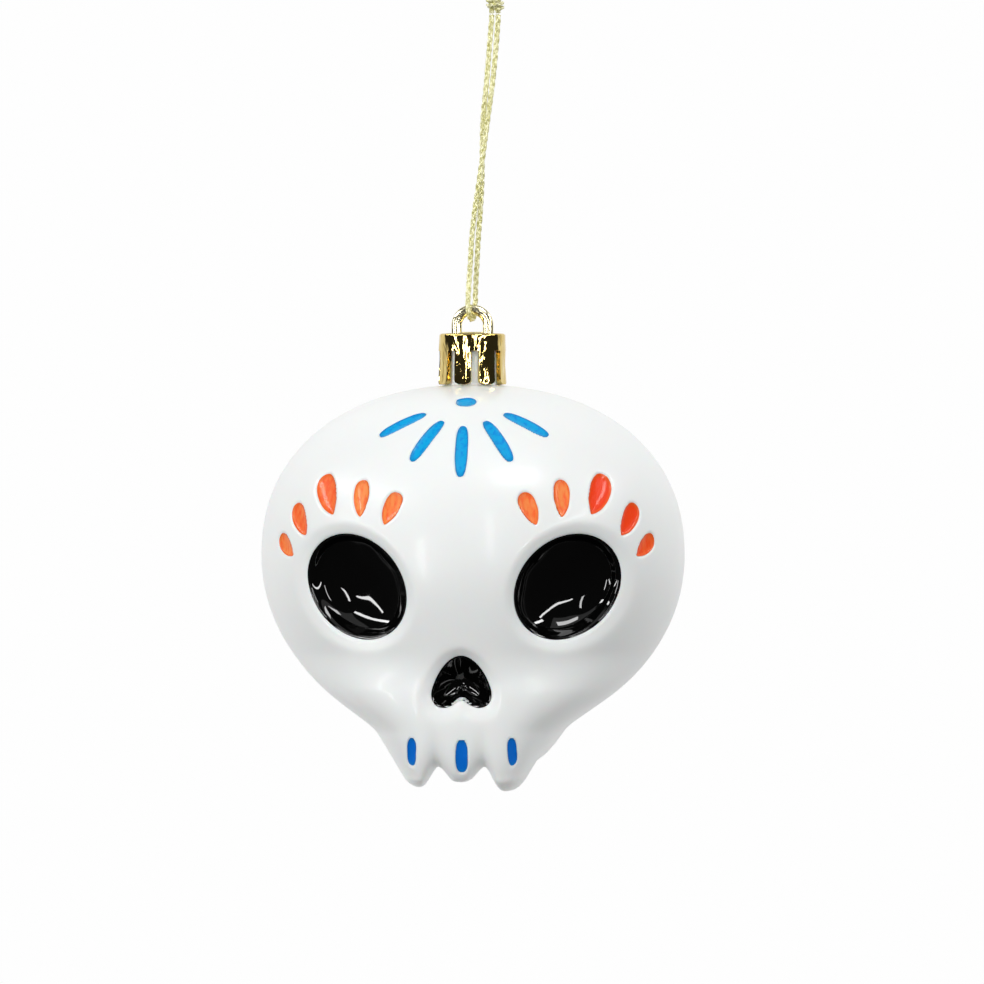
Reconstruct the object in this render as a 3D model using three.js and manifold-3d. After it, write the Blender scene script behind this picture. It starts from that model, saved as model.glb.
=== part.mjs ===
// A hanging skull ornament: a hollow moulded skull with deep glossy sockets, coloured enamel
// laid in shallow recesses, a gold crown cap with its hanging ring, and a knotted loop of cord.
// Millimetres, +Z up, the face looks along -Y. The origin is the hang point, in the cord's knot.

import * as THREE from 'three';
import { mergeVertices } from 'three/addons/utils/BufferGeometryUtils.js';
import Module from 'manifold-3d';

const wasm = await Module();
wasm.setup();

// Skull, measured from the middle of the cranium's widest section
const skullHalfWidth = 40;
const skullHalfDepth = 35.5;
const crownRise = 32.3;
const crownPower = 2.22;
const cheekDrop = 34.85;
const backDrop = 41.5;
const baseDrop = 39.3;
const skullWall = 1.8;

// Jaw, which stands forward under the cheeks
const chinHalfWidth = 12.65;
const chinBelowBase = 2.25;
const chinDrop = baseDrop + chinBelowBase;
const jawTaperShare = 0.565;
const jawTop = 25;
const jawBlend = 5;
const muzzleSetback = 6.05;
const muzzleReach = skullHalfDepth - muzzleSetback;
const muzzleTaperShare = 0.06;
const jawSquareness = 1.5;
const baseRounding = 11;

// Teeth, three lobes under the front of the jaw
const toothPitch = 8.7;
const toothShift = -0.55;
const toothDrops = [4.05, 2.8, 4.65];
const toothRowDepth = 9;
const toothRowFade = 4;
const toothRoundness = 3.2;
const outerToothShare = 0.6;

// Eye sockets and nose, as the front view sees them
const eyePlaceShare = 0.51;
const eyePlaceX = eyePlaceShare * skullHalfWidth;
const eyePlaceZ = -6;
const eyeHalfLength = 10.95;
const eyeHalfWidth = 8.85;
const eyeTurn = THREE.MathUtils.degToRad(48);
const eyeDepth = 7;
const nosePlaceZ = -23.8;
const noseHalfWidth = 5.5;
const noseHalfHeight = 4.95;
const noseDepth = 4.2;
const noseOutlineShares = [
  [0, 1], [0.33, 0.87], [0.62, 0.55], [0.86, 0.08], [1, -0.45],
  [0.9, -0.85], [0.6, -1], [0.3, -0.9], [0, -0.7],
];
const bowlSteepness = 1.2;
const bowlFullness = 0.6;
const lipDepth = 1.1;
const lipReach = 1.9;
const liningThickness = 0.6;
const liningSink = 0.5;

// Enamel marks
const enamelThickness = 0.4;
const enamelSink = 0.15;
const clearance = 0.3;
const cutOverrun = 3;

// Neck and crown cap; the neck stands forward of the cranium's middle, over the centre of mass
const neckForward = 1.4;
const neckRadius = 5.1;
const neckWall = 1;
const neckRoot = 4;
const capHeight = 9.6;
const capWall = 0.87;
const capFlare = 0.38;
const capRoof = 1;
const capEdgeRadius = 0.4;
const capFootLip = 0.3;
const capFootLipHeight = 1.1;
const slotCount = 8;
const slotWidth = 1.7;
const slotHeight = 6.3;
const slotFootRadius = 0.9;
const slotTurn = THREE.MathUtils.degToRad(9);

// Hanging ring, moulded in one with the cap
const ringHalfWidth = 3.97;
const ringRise = 5.5;
const ringBar = 2;
const ringThickness = 1.5;
const ringBevel = 0.35;
const ringSill = 0.35;
const ringRoot = 0.5;

// Cord and knot
const cordDiameter = 0.95;
const cordSides = 8;
const cordSteps = 70;
const hangDrop = 57.7;
const hangLean = 4.3;
const knotHalfWidth = 1.25;
const knotHalfDepth = 0.98;
const knotRise = 0.52;
const knotTilt = THREE.MathUtils.degToRad(17);
const knotFoot = 1.75;
const strandSpread = 0.6;

// How finely the surfaces are faceted
const roundSegments = 40;
const columnCount = 52;
const frontCrowding = 0.55;
const ringBands = [[0, 56, 6], [56, 126, 11], [126, 158, 12], [158, 180, 3]];
const cavityColumns = 26;
const cavityBands = [[0, 120, 9], [120, 180, 6]];
const bowlPoints = 22;
const bowlLevels = 4;
const markPoints = 12;
const markCoreShare = 0.5;
const halvingSteps = 40;
const slotCornerSteps = 3;
const ringCornerSteps = 8;
const ringBevelSteps = 2;
const tailSteps = 10;
const turnSteps = 14;

// Heights in the ornament's own frame, with zero at the cranium's middle
const capFoot = crownRise;
const capTop = capFoot + capHeight;
const neckTop = capTop - capRoof - clearance;
const ringTop = capTop + ringRise;
const barHeight = ringTop - ringBar / 2;
const capInnerRadius = neckRadius + clearance;
const capTopRadius = capInnerRadius + capWall;
const capFootRadius = capTopRadius + capFlare;

const finish = (color, roughness, metalness = 0) =>
  new THREE.MeshStandardMaterial({ color, roughness, metalness });
const finishes = {
  shell: finish('#f3f4f3', 0.2),
  black: finish('#060606', 0.12),
  orange: finish('#fb5a22', 0.35),
  blue: finish('#119fe6', 0.35),
  gold: finish('#dcc07a', 0.12, 1),
  cord: finish('#d9cf72', 0.4, 0.7),
};

// Makes a closed solid for joining and cutting from a geometry
function solidOf(geometry) {
  const bare = geometry.clone();
  bare.deleteAttribute('normal');
  bare.deleteAttribute('uv');
  const merged = mergeVertices(bare);
  return new wasm.Manifold(new wasm.Mesh({
    numProp: 3,
    vertProperties: new Float32Array(merged.attributes.position.array),
    triVerts: new Uint32Array(merged.index.array),
  }));
}

// Gives a joined or cut solid back as a geometry
function geometryOf(solid) {
  const mesh = solid.getMesh();
  const geometry = new THREE.BufferGeometry();
  geometry.setAttribute('position', new THREE.BufferAttribute(mesh.vertProperties, mesh.numProp));
  geometry.setIndex(new THREE.BufferAttribute(mesh.triVerts, 1));
  geometry.computeVertexNormals();
  return geometry;
}

// Skins a stack of rings of points, closed by a point at each end
function ringedGeometry(first, rings, last) {
  const count = rings[0].length;
  const points = [first, ...rings.flat(), last];
  const faces = [];
  const at = (ring, column) => 1 + ring * count + (column % count);
  for (let column = 0; column < count; column += 1) {
    faces.push(0, at(0, column), at(0, column + 1));
    faces.push(points.length - 1, at(rings.length - 1, column + 1), at(rings.length - 1, column));
    for (let ring = 0; ring + 1 < rings.length; ring += 1) {
      faces.push(at(ring, column), at(ring + 1, column), at(ring + 1, column + 1));
      faces.push(at(ring, column), at(ring + 1, column + 1), at(ring, column + 1));
    }
  }
  const geometry = new THREE.BufferGeometry().setFromPoints(points);
  geometry.setIndex(faces);
  geometry.computeVertexNormals();
  return geometry;
}

const smoothStep = (low, high, value) => THREE.MathUtils.smoothstep(value, low, high);

// The larger of two sizes, with the corner between them rounded over the blend's length
function blendedMax(a, b, blend) {
  const near = Math.max(blend - Math.abs(a - b), 0);
  return Math.max(a, b) + near * near / (4 * blend);
}

// A half ellipse's reach at a height
const ellipseReach = (reach, height, z) => reach * Math.sqrt(Math.max(0, 1 - (z / height) ** 2));

// Half width, front reach and back reach of the level section at a height under the middle
function sectionAt(z) {
  const jaw = chinHalfWidth + jawTaperShare * (Math.min(z, -jawTop) + chinDrop);
  const muzzle = muzzleReach + muzzleTaperShare * (Math.min(z, -jawTop) + chinDrop);
  return {
    width: blendedMax(ellipseReach(skullHalfWidth, cheekDrop, z), jaw, jawBlend),
    front: blendedMax(ellipseReach(skullHalfDepth, cheekDrop, z), muzzle, jawBlend),
    back: ellipseReach(skullHalfDepth, backDrop, z),
  };
}

// How far down the base reaches under a point, with the three lobes of the teeth in front
function baseReach(x, y, toothed) {
  if (!toothed) return baseDrop;
  const row = smoothStep(0, toothRowFade, muzzleReach - toothRowDepth - toothRowFade / 2 - -y);
  let lobes = 0;
  toothDrops.forEach((drop, index) => {
    const off = Math.abs(x - toothShift - (index - 1) * toothPitch) / toothPitch;
    const turn = Math.PI * off * (Math.abs(x - toothShift) > toothPitch ? outerToothShare : 1);
    lobes += turn < Math.PI / 2 ? drop * (1 - Math.sin(turn) ** toothRoundness) : 0;
  });
  return baseDrop + lobes * (1 - row);
}

// Zero at the middle, 1 on the skin and more outside it
function skullGauge(x, y, z, toothed) {
  if (z >= 0) {
    const level = Math.hypot(x / skullHalfWidth, y / skullHalfDepth);
    return (level ** crownPower + (z / crownRise) ** crownPower) ** (1 / crownPower);
  }
  const section = sectionAt(z);
  const middle = (section.back - section.front) / 2;
  const depth = (section.back + section.front) / 2;
  const power = 2 + jawSquareness * smoothStep(cheekDrop / 2, cheekDrop, -z);
  const across = Math.abs(x) / Math.max(section.width, Number.EPSILON);
  const along = Math.abs(y - middle) / Math.max(depth, Number.EPSILON);
  const level = (across ** power + along ** power) ** (1 / power);
  const down = -z / baseReach(x, y, toothed);
  return (level ** baseRounding + down ** baseRounding) ** (1 / baseRounding);
}

// The socket's place in the front view, and how far outside its outline a point lies
function outsideEye(x, z, side) {
  const dx = side * x - eyePlaceX;
  const dz = z - eyePlaceZ;
  const along = dx * Math.cos(eyeTurn) + dz * Math.sin(eyeTurn);
  const over = -dx * Math.sin(eyeTurn) + dz * Math.cos(eyeTurn);
  const reach = Math.hypot(along / eyeHalfLength, over / eyeHalfWidth);
  return (reach - 1) * (eyeHalfLength + eyeHalfWidth) / 2;
}

function outsideNose(x, z) {
  const reach = Math.hypot(x / noseHalfWidth, (z - nosePlaceZ) / noseHalfHeight);
  return (reach - 1) * (noseHalfWidth + noseHalfHeight) / 2;
}

// How far the skin rolls in at the lips of the sockets and the nose
function lipRoll(x, y, z) {
  if (y > 0) return 0;
  const roll = (outside) => Math.exp(-((Math.max(outside, 0) / lipReach) ** 2));
  const outsides = [outsideEye(x, z, 1), outsideEye(x, z, -1), outsideNose(x, z)];
  return lipDepth * Math.max(...outsides.map(roll));
}

// Distance from the middle to where the gauge is 1 along a direction, by halving
function reachAlong(direction, toothed = true) {
  let near = 0;
  let far = skullHalfWidth + skullHalfDepth;
  for (let step = 0; step < halvingSteps; step += 1) {
    const mid = (near + far) / 2;
    const inside = skullGauge(direction.x * mid, direction.y * mid, direction.z * mid, toothed) < 1;
    if (inside) near = mid;
    else far = mid;
  }
  return near;
}

// The skin's point in a direction from the middle, sunk by a depth
function skinPoint(toward, sink = 0) {
  const direction = toward.clone().normalize();
  const reach = reachAlong(direction);
  const plain = direction.clone().multiplyScalar(reach);
  return direction.multiplyScalar(reach - lipRoll(plain.x, plain.y, plain.z) - sink);
}

// The point of the face that the front view sees at a place
function facePoint(x, z) {
  let front = -skullHalfDepth - muzzleReach;
  while (front < 0 && skullGauge(x, front + skullWall, z, true) >= 1) front += skullWall;
  let back = front + skullWall;
  for (let step = 0; step < halvingSteps; step += 1) {
    const mid = (front + back) / 2;
    if (skullGauge(x, mid, z, true) < 1) back = mid;
    else front = mid;
  }
  return skinPoint(new THREE.Vector3(x, back, z));
}

// The skin's outward direction at one of its points
function skinNormal(point) {
  const step = clearance;
  const aside = new THREE.Vector3().crossVectors(point, new THREE.Vector3(0, 0, 1)).setLength(step);
  const up = new THREE.Vector3().crossVectors(aside, point).setLength(step);
  const ahead = skinPoint(point.clone().add(aside)).sub(skinPoint(point.clone().sub(aside)));
  const above = skinPoint(point.clone().add(up)).sub(skinPoint(point.clone().sub(up)));
  const normal = new THREE.Vector3().crossVectors(ahead, above).normalize();
  return normal.dot(point) < 0 ? normal.negate() : normal;
}

const directionAt = (azimuth, polar) => new THREE.Vector3(
  Math.sin(polar) * Math.sin(azimuth),
  -Math.sin(polar) * Math.cos(azimuth),
  Math.cos(polar),
);

// The polar angles of the rings, band by band, without the two poles
function ringAngles(bands) {
  const angles = [];
  bands.forEach(([from, to, count]) => {
    for (let ring = 1; ring <= count; ring += 1) {
      angles.push(THREE.MathUtils.degToRad(from + (to - from) * ring / count));
    }
  });
  return angles.slice(0, -1);
}

// A closed ball round the middle whose radius follows a function of the direction
function ballGeometry(radiusAt, columns, crowding, bands) {
  const place = (azimuth, polar) => {
    const direction = directionAt(azimuth, polar);
    return direction.multiplyScalar(radiusAt(direction));
  };
  const rings = ringAngles(bands).map((polar) => Array.from({ length: columns }, (_, column) => {
    const turn = 2 * Math.PI * column / columns;
    return place(turn - crowding * Math.sin(turn), polar);
  }));
  return ringedGeometry(place(0, 0), rings, place(0, Math.PI));
}

// A solid between two depths under the skin, bounded by an outline in the skin's own plane
function skinBlister(outline, outerSink, innerSink) {
  const middle = outline.reduce((sum, point) => sum.add(point), new THREE.Vector3())
    .divideScalar(outline.length);
  const ringAt = (share, sink) => outline.map(
    (point) => skinPoint(middle.clone().lerp(point, share), sink),
  );
  const outer = [ringAt(markCoreShare, outerSink), ringAt(1, outerSink)];
  const inner = [ringAt(1, innerSink), ringAt(markCoreShare, innerSink)];
  return ringedGeometry(skinPoint(middle, outerSink), [...outer, ...inner], skinPoint(middle, innerSink));
}

// One enamel mark's outline between two places of the front view. Its point narrows the near end,
// its squareness makes the sides run straighter, and the margin widens it all round.
function markOutline(mark, margin) {
  const near = facePoint(mark.near[0] * skullHalfWidth, mark.near[1] * mark.height);
  const far = facePoint(mark.far[0] * skullHalfWidth, mark.far[1] * mark.height);
  const middle = near.clone().add(far).divideScalar(2);
  const along = far.clone().sub(near).divideScalar(2);
  const halfLength = along.length();
  along.normalize();
  const over = new THREE.Vector3().crossVectors(skinNormal(skinPoint(middle)), along).normalize();
  const bend = (value) => Math.sign(value) * Math.abs(value) ** mark.square;
  const halfWidth = halfLength * mark.widthShare;
  return Array.from({ length: markPoints }, (_, index) => {
    const turn = 2 * Math.PI * index / markPoints;
    const narrow = ((1 + Math.cos(turn)) / 2) ** mark.point;
    const u = (halfLength + margin) * bend(Math.cos(turn));
    const v = (halfWidth * narrow + margin) * bend(Math.sin(turn));
    return middle.clone().addScaledVector(along, u).addScaledVector(over, v);
  });
}

// Places are shares of the half width and of a height; near is the narrow end of a petal
const petalShares = [
  { near: [0.808, 0.006], far: [0.878, 0.115], widthShare: 0.5 },
  { near: [0.74, 0.124], far: [0.8, 0.3], widthShare: 0.53 },
  { near: [0.606, 0.245], far: [0.658, 0.47], widthShare: 0.54 },
  { near: [0.472, 0.229], far: [0.4625, 0.443], widthShare: 0.46 },
  { near: [0.355, 0.186], far: [0.29, 0.368], widthShare: 0.44 },
];
const rayShares = [
  { near: [0.185, 0.827], far: [0.394, 0.697], widthShare: 0.27 },
  { near: [0.1025, 0.78], far: [0.2325, 0.551], widthShare: 0.195 },
  { near: [0, 0.755], far: [0, 0.461], widthShare: 0.19 },
];
const dotShares = { near: [0, 0.921], far: [0, 0.869], widthShare: 0.95 };
const toothMarkShares = [
  { near: [0.232, -0.865], far: [0.238, -0.99], widthShare: 0.36 },
  { near: [0, -0.8715], far: [0, -1.023], widthShare: 0.36 },
];
const petalPoint = 0.45;
const petalSquare = 1;
const raySquare = 0.72;

// The same mark on the other side of the face
const mirrored = (mark) => ({
  ...mark,
  near: [-mark.near[0], mark.near[1]],
  far: [-mark.far[0], mark.far[1]],
});

// Every enamel mark with its name, its finish and its shape
function enamelMarks() {
  const marks = [];
  petalShares.forEach((shares, index) => {
    const form = { height: crownRise, point: petalPoint, square: petalSquare, finish: finishes.orange };
    const petal = { ...shares, ...form };
    marks.push({ ...petal, name: `petal_enamel_right_${index + 1}` });
    marks.push({ ...mirrored(petal), name: `petal_enamel_left_${index + 1}` });
  });
  rayShares.forEach((shares, index) => {
    const ray = { ...shares, height: crownRise, point: 0, square: raySquare, finish: finishes.blue };
    if (shares.near[0] === 0) {
      marks.push({ ...ray, name: 'ray_enamel_middle' });
      return;
    }
    marks.push({ ...ray, name: `ray_enamel_right_${index + 1}` });
    marks.push({ ...mirrored(ray), name: `ray_enamel_left_${index + 1}` });
  });
  const dot = { ...dotShares, height: crownRise, point: 0, square: 1, finish: finishes.blue };
  marks.push({ ...dot, name: 'dot_enamel' });
  const [side, middle] = toothMarkShares.map((shares) => (
    { ...shares, height: baseDrop, point: 0, square: raySquare, finish: finishes.blue }));
  marks.push({ ...side, name: 'tooth_enamel_right' });
  marks.push({ ...mirrored(side), name: 'tooth_enamel_left' });
  marks.push({ ...middle, name: 'tooth_enamel_middle' });
  return marks;
}

// An eye's outline in the front view
function eyeOutline(side, margin) {
  return Array.from({ length: bowlPoints }, (_, index) => {
    const turn = 2 * Math.PI * index / bowlPoints;
    const along = (eyeHalfLength + margin) * Math.cos(turn);
    const over = (eyeHalfWidth + margin) * Math.sin(turn);
    const x = eyePlaceX + along * Math.cos(eyeTurn) - over * Math.sin(eyeTurn);
    const z = eyePlaceZ + along * Math.sin(eyeTurn) + over * Math.cos(eyeTurn);
    return [side * x, z];
  });
}

// The nose's outline in the front view, a smooth curve through half its points and their mirror
function noseOutline(margin) {
  const half = noseOutlineShares.map(([x, z]) => new THREE.Vector3(
    x * (noseHalfWidth + margin),
    z * (noseHalfHeight + margin) + nosePlaceZ,
    0,
  ));
  const other = half.slice(1, -1).reverse().map((point) => new THREE.Vector3(-point.x, point.y, 0));
  const loop = new THREE.CatmullRomCurve3([...half, ...other], true);
  return loop.getPoints(bowlPoints).slice(0, -1).map((point) => [point.x, point.y]);
}

// A bowl's middle on the face and its inward axis, from its outline in the front view
function bowlFrame(outline) {
  const rim = outline.map(([x, z]) => facePoint(x, z));
  const middle = rim.reduce((sum, point) => sum.add(point), new THREE.Vector3()).divideScalar(rim.length);
  return { middle, inward: skinNormal(skinPoint(middle)).negate() };
}

// The rings of a bowl: from its rim at one depth they draw in as they sink to its floor
function bowlRings(frame, outline, rimDepth, floorDepth) {
  const rim = outline.map(([x, z]) => facePoint(x, z));
  return Array.from({ length: bowlLevels }, (_, level) => {
    const turn = Math.PI / 2 * level / bowlLevels;
    const depth = rimDepth + (floorDepth - rimDepth) * Math.sin(turn) ** bowlSteepness;
    const share = Math.cos(turn) ** bowlFullness;
    return rim.map((point) => frame.middle.clone().lerp(point, share).addScaledVector(frame.inward, depth));
  });
}

const oriented = (rings, clockwise) => (clockwise ? rings.map((ring) => [...ring].reverse()) : rings);
const underMiddle = (frame, depth) => frame.middle.clone().addScaledVector(frame.inward, depth);

// The space that a bowl takes out of the shell
function bowlCutter(frame, outline, depth, clockwise) {
  const rings = bowlRings(frame, outline, 0, depth);
  const mouth = rings[0].map((point) => point.clone().addScaledVector(frame.inward, -cutOverrun));
  const skin = oriented([mouth, ...rings], clockwise);
  return solidOf(ringedGeometry(underMiddle(frame, -cutOverrun), skin, underMiddle(frame, depth)));
}

// The glossy black coat inside a bowl, a thin cup with its edge just under the lip
function bowlLining(frame, outlineAt, depth, clockwise) {
  const outerDepth = depth - clearance;
  const innerDepth = outerDepth - liningThickness;
  const outer = oriented(bowlRings(frame, outlineAt(0), liningSink, outerDepth), clockwise);
  const inner = oriented(bowlRings(frame, outlineAt(-liningThickness), liningSink, innerDepth), clockwise);
  const rings = [...inner.reverse(), ...outer];
  return ringedGeometry(underMiddle(frame, innerDepth), rings, underMiddle(frame, outerDepth));
}

// A revolved solid; its profile starts and ends on the axis
function turned(profile, segments) {
  const geometry = new THREE.LatheGeometry(profile.map(([r, z]) => new THREE.Vector2(r, z)), segments);
  return geometry.rotateX(Math.PI / 2);
}

// A round rod on the neck's axis between two heights
function neckRod(radius, foot, top) {
  const rod = turned([[0, foot], [radius, foot], [radius, top], [0, top]], roundSegments);
  return solidOf(rod.translate(0, -neckForward, 0));
}

// The two sockets and the nose: the place, the outline at a margin and the depth of each
function faceBowls() {
  const bowls = [['right', 1], ['left', -1]].map(([name, side]) => ({
    name: `eye_enamel_${name}`,
    outlineAt: (margin) => eyeOutline(side, margin),
    depth: eyeDepth,
    clockwise: side < 0,
  }));
  bowls.push({ name: 'nose_enamel', outlineAt: noseOutline, depth: noseDepth, clockwise: true });
  return bowls.map((bowl) => ({ ...bowl, frame: bowlFrame(bowl.outlineAt(0)) }));
}

// The hollow skull with its neck, bowls and enamel recesses
function skullShell(bowls, marks) {
  const skin = (direction) => skinPoint(direction).length();
  let shell = solidOf(ballGeometry(skin, columnCount, frontCrowding, ringBands));
  const neckFoot = crownRise - neckRoot;
  shell = shell.add(neckRod(neckRadius, neckFoot, neckTop));

  const room = (direction) => reachAlong(direction, false) - skullWall;
  let cavity = solidOf(ballGeometry(room, cavityColumns, 0, cavityBands));
  bowls.forEach(({ frame, outlineAt, depth, clockwise }) => {
    cavity = cavity.subtract(bowlCutter(frame, outlineAt(skullWall), depth + skullWall, clockwise));
    shell = shell.subtract(bowlCutter(frame, outlineAt(clearance), depth, clockwise));
  });

  shell = shell.subtract(cavity);
  shell = shell.subtract(neckRod(neckRadius - neckWall, neckFoot - neckRoot, neckTop + cutOverrun));

  const floor = enamelSink + enamelThickness + clearance;
  marks.forEach((mark) => {
    shell = shell.subtract(solidOf(skinBlister(markOutline(mark, clearance), -cutOverrun, floor)));
  });
  return geometryOf(shell);
}

// The slot between two tabs, open at the foot, where its corners are rounded off
function slotShape() {
  const half = slotWidth / 2;
  const foot = capFoot;
  const shape = new THREE.Shape();
  shape.moveTo(-half - slotFootRadius, foot - cutOverrun);
  shape.lineTo(-half - slotFootRadius, foot);
  shape.absarc(-half - slotFootRadius, foot + slotFootRadius, slotFootRadius, -Math.PI / 2, 0, false);
  shape.lineTo(-half, foot + slotHeight);
  shape.lineTo(half, foot + slotHeight);
  shape.absarc(half + slotFootRadius, foot + slotFootRadius, slotFootRadius, Math.PI, 1.5 * Math.PI, false);
  shape.lineTo(half + slotFootRadius, foot - cutOverrun);
  return shape;
}

// The arch of the hanging ring, with its opening
function ringShape() {
  const archHeight = ringTop - ringHalfWidth;
  const openingHalf = ringHalfWidth - ringBar;
  const shape = new THREE.Shape();
  shape.moveTo(-ringHalfWidth, capTop - ringRoot);
  shape.lineTo(ringHalfWidth, capTop - ringRoot);
  shape.lineTo(ringHalfWidth, archHeight);
  shape.absarc(0, archHeight, ringHalfWidth, 0, Math.PI, false);
  const opening = new THREE.Path();
  opening.moveTo(-openingHalf, capTop + ringSill);
  opening.lineTo(-openingHalf, archHeight);
  opening.absarc(0, archHeight, openingHalf, Math.PI, 0, true);
  opening.lineTo(openingHalf, capTop + ringSill);
  shape.holes.push(opening);
  return shape;
}

// Stands a shape drawn in X and Z upright, centred on the axis plane
function uprightSlab(shape, thickness, bevel) {
  const geometry = new THREE.ExtrudeGeometry(shape, {
    depth: thickness - 2 * bevel,
    curveSegments: ringCornerSteps,
    bevelEnabled: bevel > 0,
    bevelThickness: bevel,
    bevelSize: bevel,
    bevelOffset: -bevel,
    bevelSegments: ringBevelSteps,
  });
  geometry.translate(0, 0, -(thickness - 2 * bevel) / 2);
  return geometry.rotateX(Math.PI / 2);
}

// The gold crown cap: a flared cup with eight spring tabs, and the ring on its roof
function crownCap() {
  const roofUnder = capTop - capRoof;
  const cup = turned([
    [0, roofUnder],
    [capInnerRadius, roofUnder],
    [capInnerRadius, capFoot],
    [capFootRadius - capFootLip, capFoot],
    [capFootRadius, capFoot + capFootLip],
    [capFootRadius - capFootLip, capFoot + capFootLipHeight],
    [capTopRadius, capTop - capEdgeRadius],
    [capTopRadius - capEdgeRadius / 3, capTop - capEdgeRadius / 3],
    [capTopRadius - capEdgeRadius, capTop],
    [0, capTop],
  ], roundSegments);
  let cap = solidOf(cup);
  const cutting = { depth: capFootRadius, bevelEnabled: false, curveSegments: slotCornerSteps };
  const slot = new THREE.ExtrudeGeometry(slotShape(), cutting);
  slot.rotateX(Math.PI / 2);
  slot.translate(0, capWall - neckRadius, 0);
  for (let index = 0; index < slotCount; index += 1) {
    const turn = slotTurn + 2 * Math.PI * index / slotCount;
    cap = cap.subtract(solidOf(slot.clone().rotateZ(turn)));
  }
  return geometryOf(cap.add(solidOf(uprightSlab(ringShape(), ringThickness, ringBevel))));
}

// A round section for the cord and the knot
function cordSection() {
  const shape = new THREE.Shape();
  const radius = cordDiameter / 2;
  for (let side = 0; side < cordSides; side += 1) {
    const turn = 2 * Math.PI * (side + 0.5) / cordSides;
    const corner = [radius * Math.cos(turn), radius * Math.sin(turn)];
    if (side === 0) shape.moveTo(...corner);
    else shape.lineTo(...corner);
  }
  return shape;
}

const tubeAlong = (curve, steps) => new THREE.ExtrudeGeometry(
  cordSection(),
  { steps, bevelEnabled: false, extrudePath: curve },
);

// The loop's route from the knot down one strand, under the ring's bar and up the other strand.
// X, Y and Z are measured from the middle of the ring's bar.
const cordRoute = [
  [4.9, 0, 55.65], [4.5, -0.02, 50], [3.84, -0.16, 43], [2.92, -0.4, 36], [2.14, -0.6, 30],
  [1.44, -0.6, 25], [0.58, -0.42, 19.5], [-0.07, -0.25, 14], [-0.36, -0.45, 9], [-0.58, -1.05, 5],
  [-0.68, -1.7, 2], [-0.66, -1.95, 0], [-0.42, -1.4, -1.36], [-0.15, 0, -1.95], [0.1, 1.4, -1.36],
  [0.33, 1.95, 0], [0.42, 1.7, 2], [0.56, 1.05, 5], [0.84, 0.45, 9], [1.12, 0.25, 14],
  [1.52, 0.42, 19.5], [1.76, 0.6, 25], [1.82, 0.6, 30], [1.98, 0.4, 36], [2.66, 0.16, 43],
  [3.24, 0.02, 50], [3.7, 0, 55.65],
];

function cordLoop() {
  const curve = new THREE.CatmullRomCurve3(cordRoute.map((point) => new THREE.Vector3(...point)));
  return tubeAlong(curve, cordSteps);
}

// One strand's end, up through the knot and on as a short loose tail
function knotStrand(side, tailShares) {
  const points = [
    [side * strandSpread, 0, -knotFoot],
    [side * strandSpread, 0, -knotRise],
    [side * strandSpread, 0, knotRise],
    ...tailShares.map(([x, y, z]) => [side * x * knotHalfWidth, y * knotHalfDepth, z * knotFoot]),
  ];
  return tubeAlong(new THREE.CatmullRomCurve3(points.map((point) => new THREE.Vector3(...point))), tailSteps);
}

// One turn of the knot round both strands
function knotTurn(side) {
  const geometry = new THREE.TorusGeometry(knotHalfWidth, cordDiameter / 2, cordSides, turnSteps);
  geometry.scale(1, knotHalfDepth / knotHalfWidth, 1);
  return geometry.rotateY(side * knotTilt).translate(0, 0, side * knotRise);
}

const rightTailShares = [[0.85, -0.3, 1.6], [1.5, -0.5, 3]];
const leftTailShares = [[0.8, 0.2, 1.7], [1.2, 0.6, 3.6]];

// The overhand knot that closes the loop, drawn tight, with its two tails
function cordKnot() {
  const strands = [knotStrand(1, rightTailShares), knotStrand(-1, leftTailShares)];
  const pieces = [...strands, knotTurn(1), knotTurn(-1)];
  return geometryOf(pieces.map(solidOf).reduce((sum, piece) => sum.add(piece)));
}

// Puts a named piece with its finish into a group
function addPiece(group, name, geometry, material) {
  const mesh = new THREE.Mesh(geometry, material);
  mesh.name = name;
  group.add(mesh);
  return mesh;
}

// The whole object: the hanger at the origin, and the ornament under it
function buildOrnament() {
  const marks = enamelMarks();
  const bowls = faceBowls();
  const ornament = new THREE.Group();
  ornament.position.set(-hangLean, neckForward, -hangDrop - barHeight);
  addPiece(ornament, 'skull_shell', skullShell(bowls, marks), finishes.shell);
  bowls.forEach(({ name, frame, outlineAt, depth, clockwise }) => {
    addPiece(ornament, name, bowlLining(frame, outlineAt, depth, clockwise), finishes.black);
  });
  marks.forEach((mark) => {
    const pad = skinBlister(markOutline(mark, 0), enamelSink, enamelSink + enamelThickness);
    addPiece(ornament, mark.name, pad, mark.finish);
  });
  const cap = addPiece(ornament, 'crown_cap', crownCap(), finishes.gold);
  cap.position.y = -neckForward;

  const hanger = new THREE.Group();
  const loop = addPiece(hanger, 'cord_loop', cordLoop(), finishes.cord);
  loop.position.set(-hangLean, 0, -hangDrop);
  addPiece(hanger, 'cord_knot', cordKnot(), finishes.cord);

  const object = new THREE.Group();
  object.add(hanger, ornament);
  return object;
}

export default buildOrnament();
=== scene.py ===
"""A hanging skull ornament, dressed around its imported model.

The skull is a hollow glossy moulding with black sockets, orange petals and blue rays laid in
shallow troughs. A metallised crown cap with its ring holds it, on a plaited cord tied in a knot.
Sizes in the classes are millimetres in the model's frame: +Z up, the face looking along -Y.
"""

from __future__ import annotations

import logging
import math
from dataclasses import dataclass, field
from enum import Enum

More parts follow.
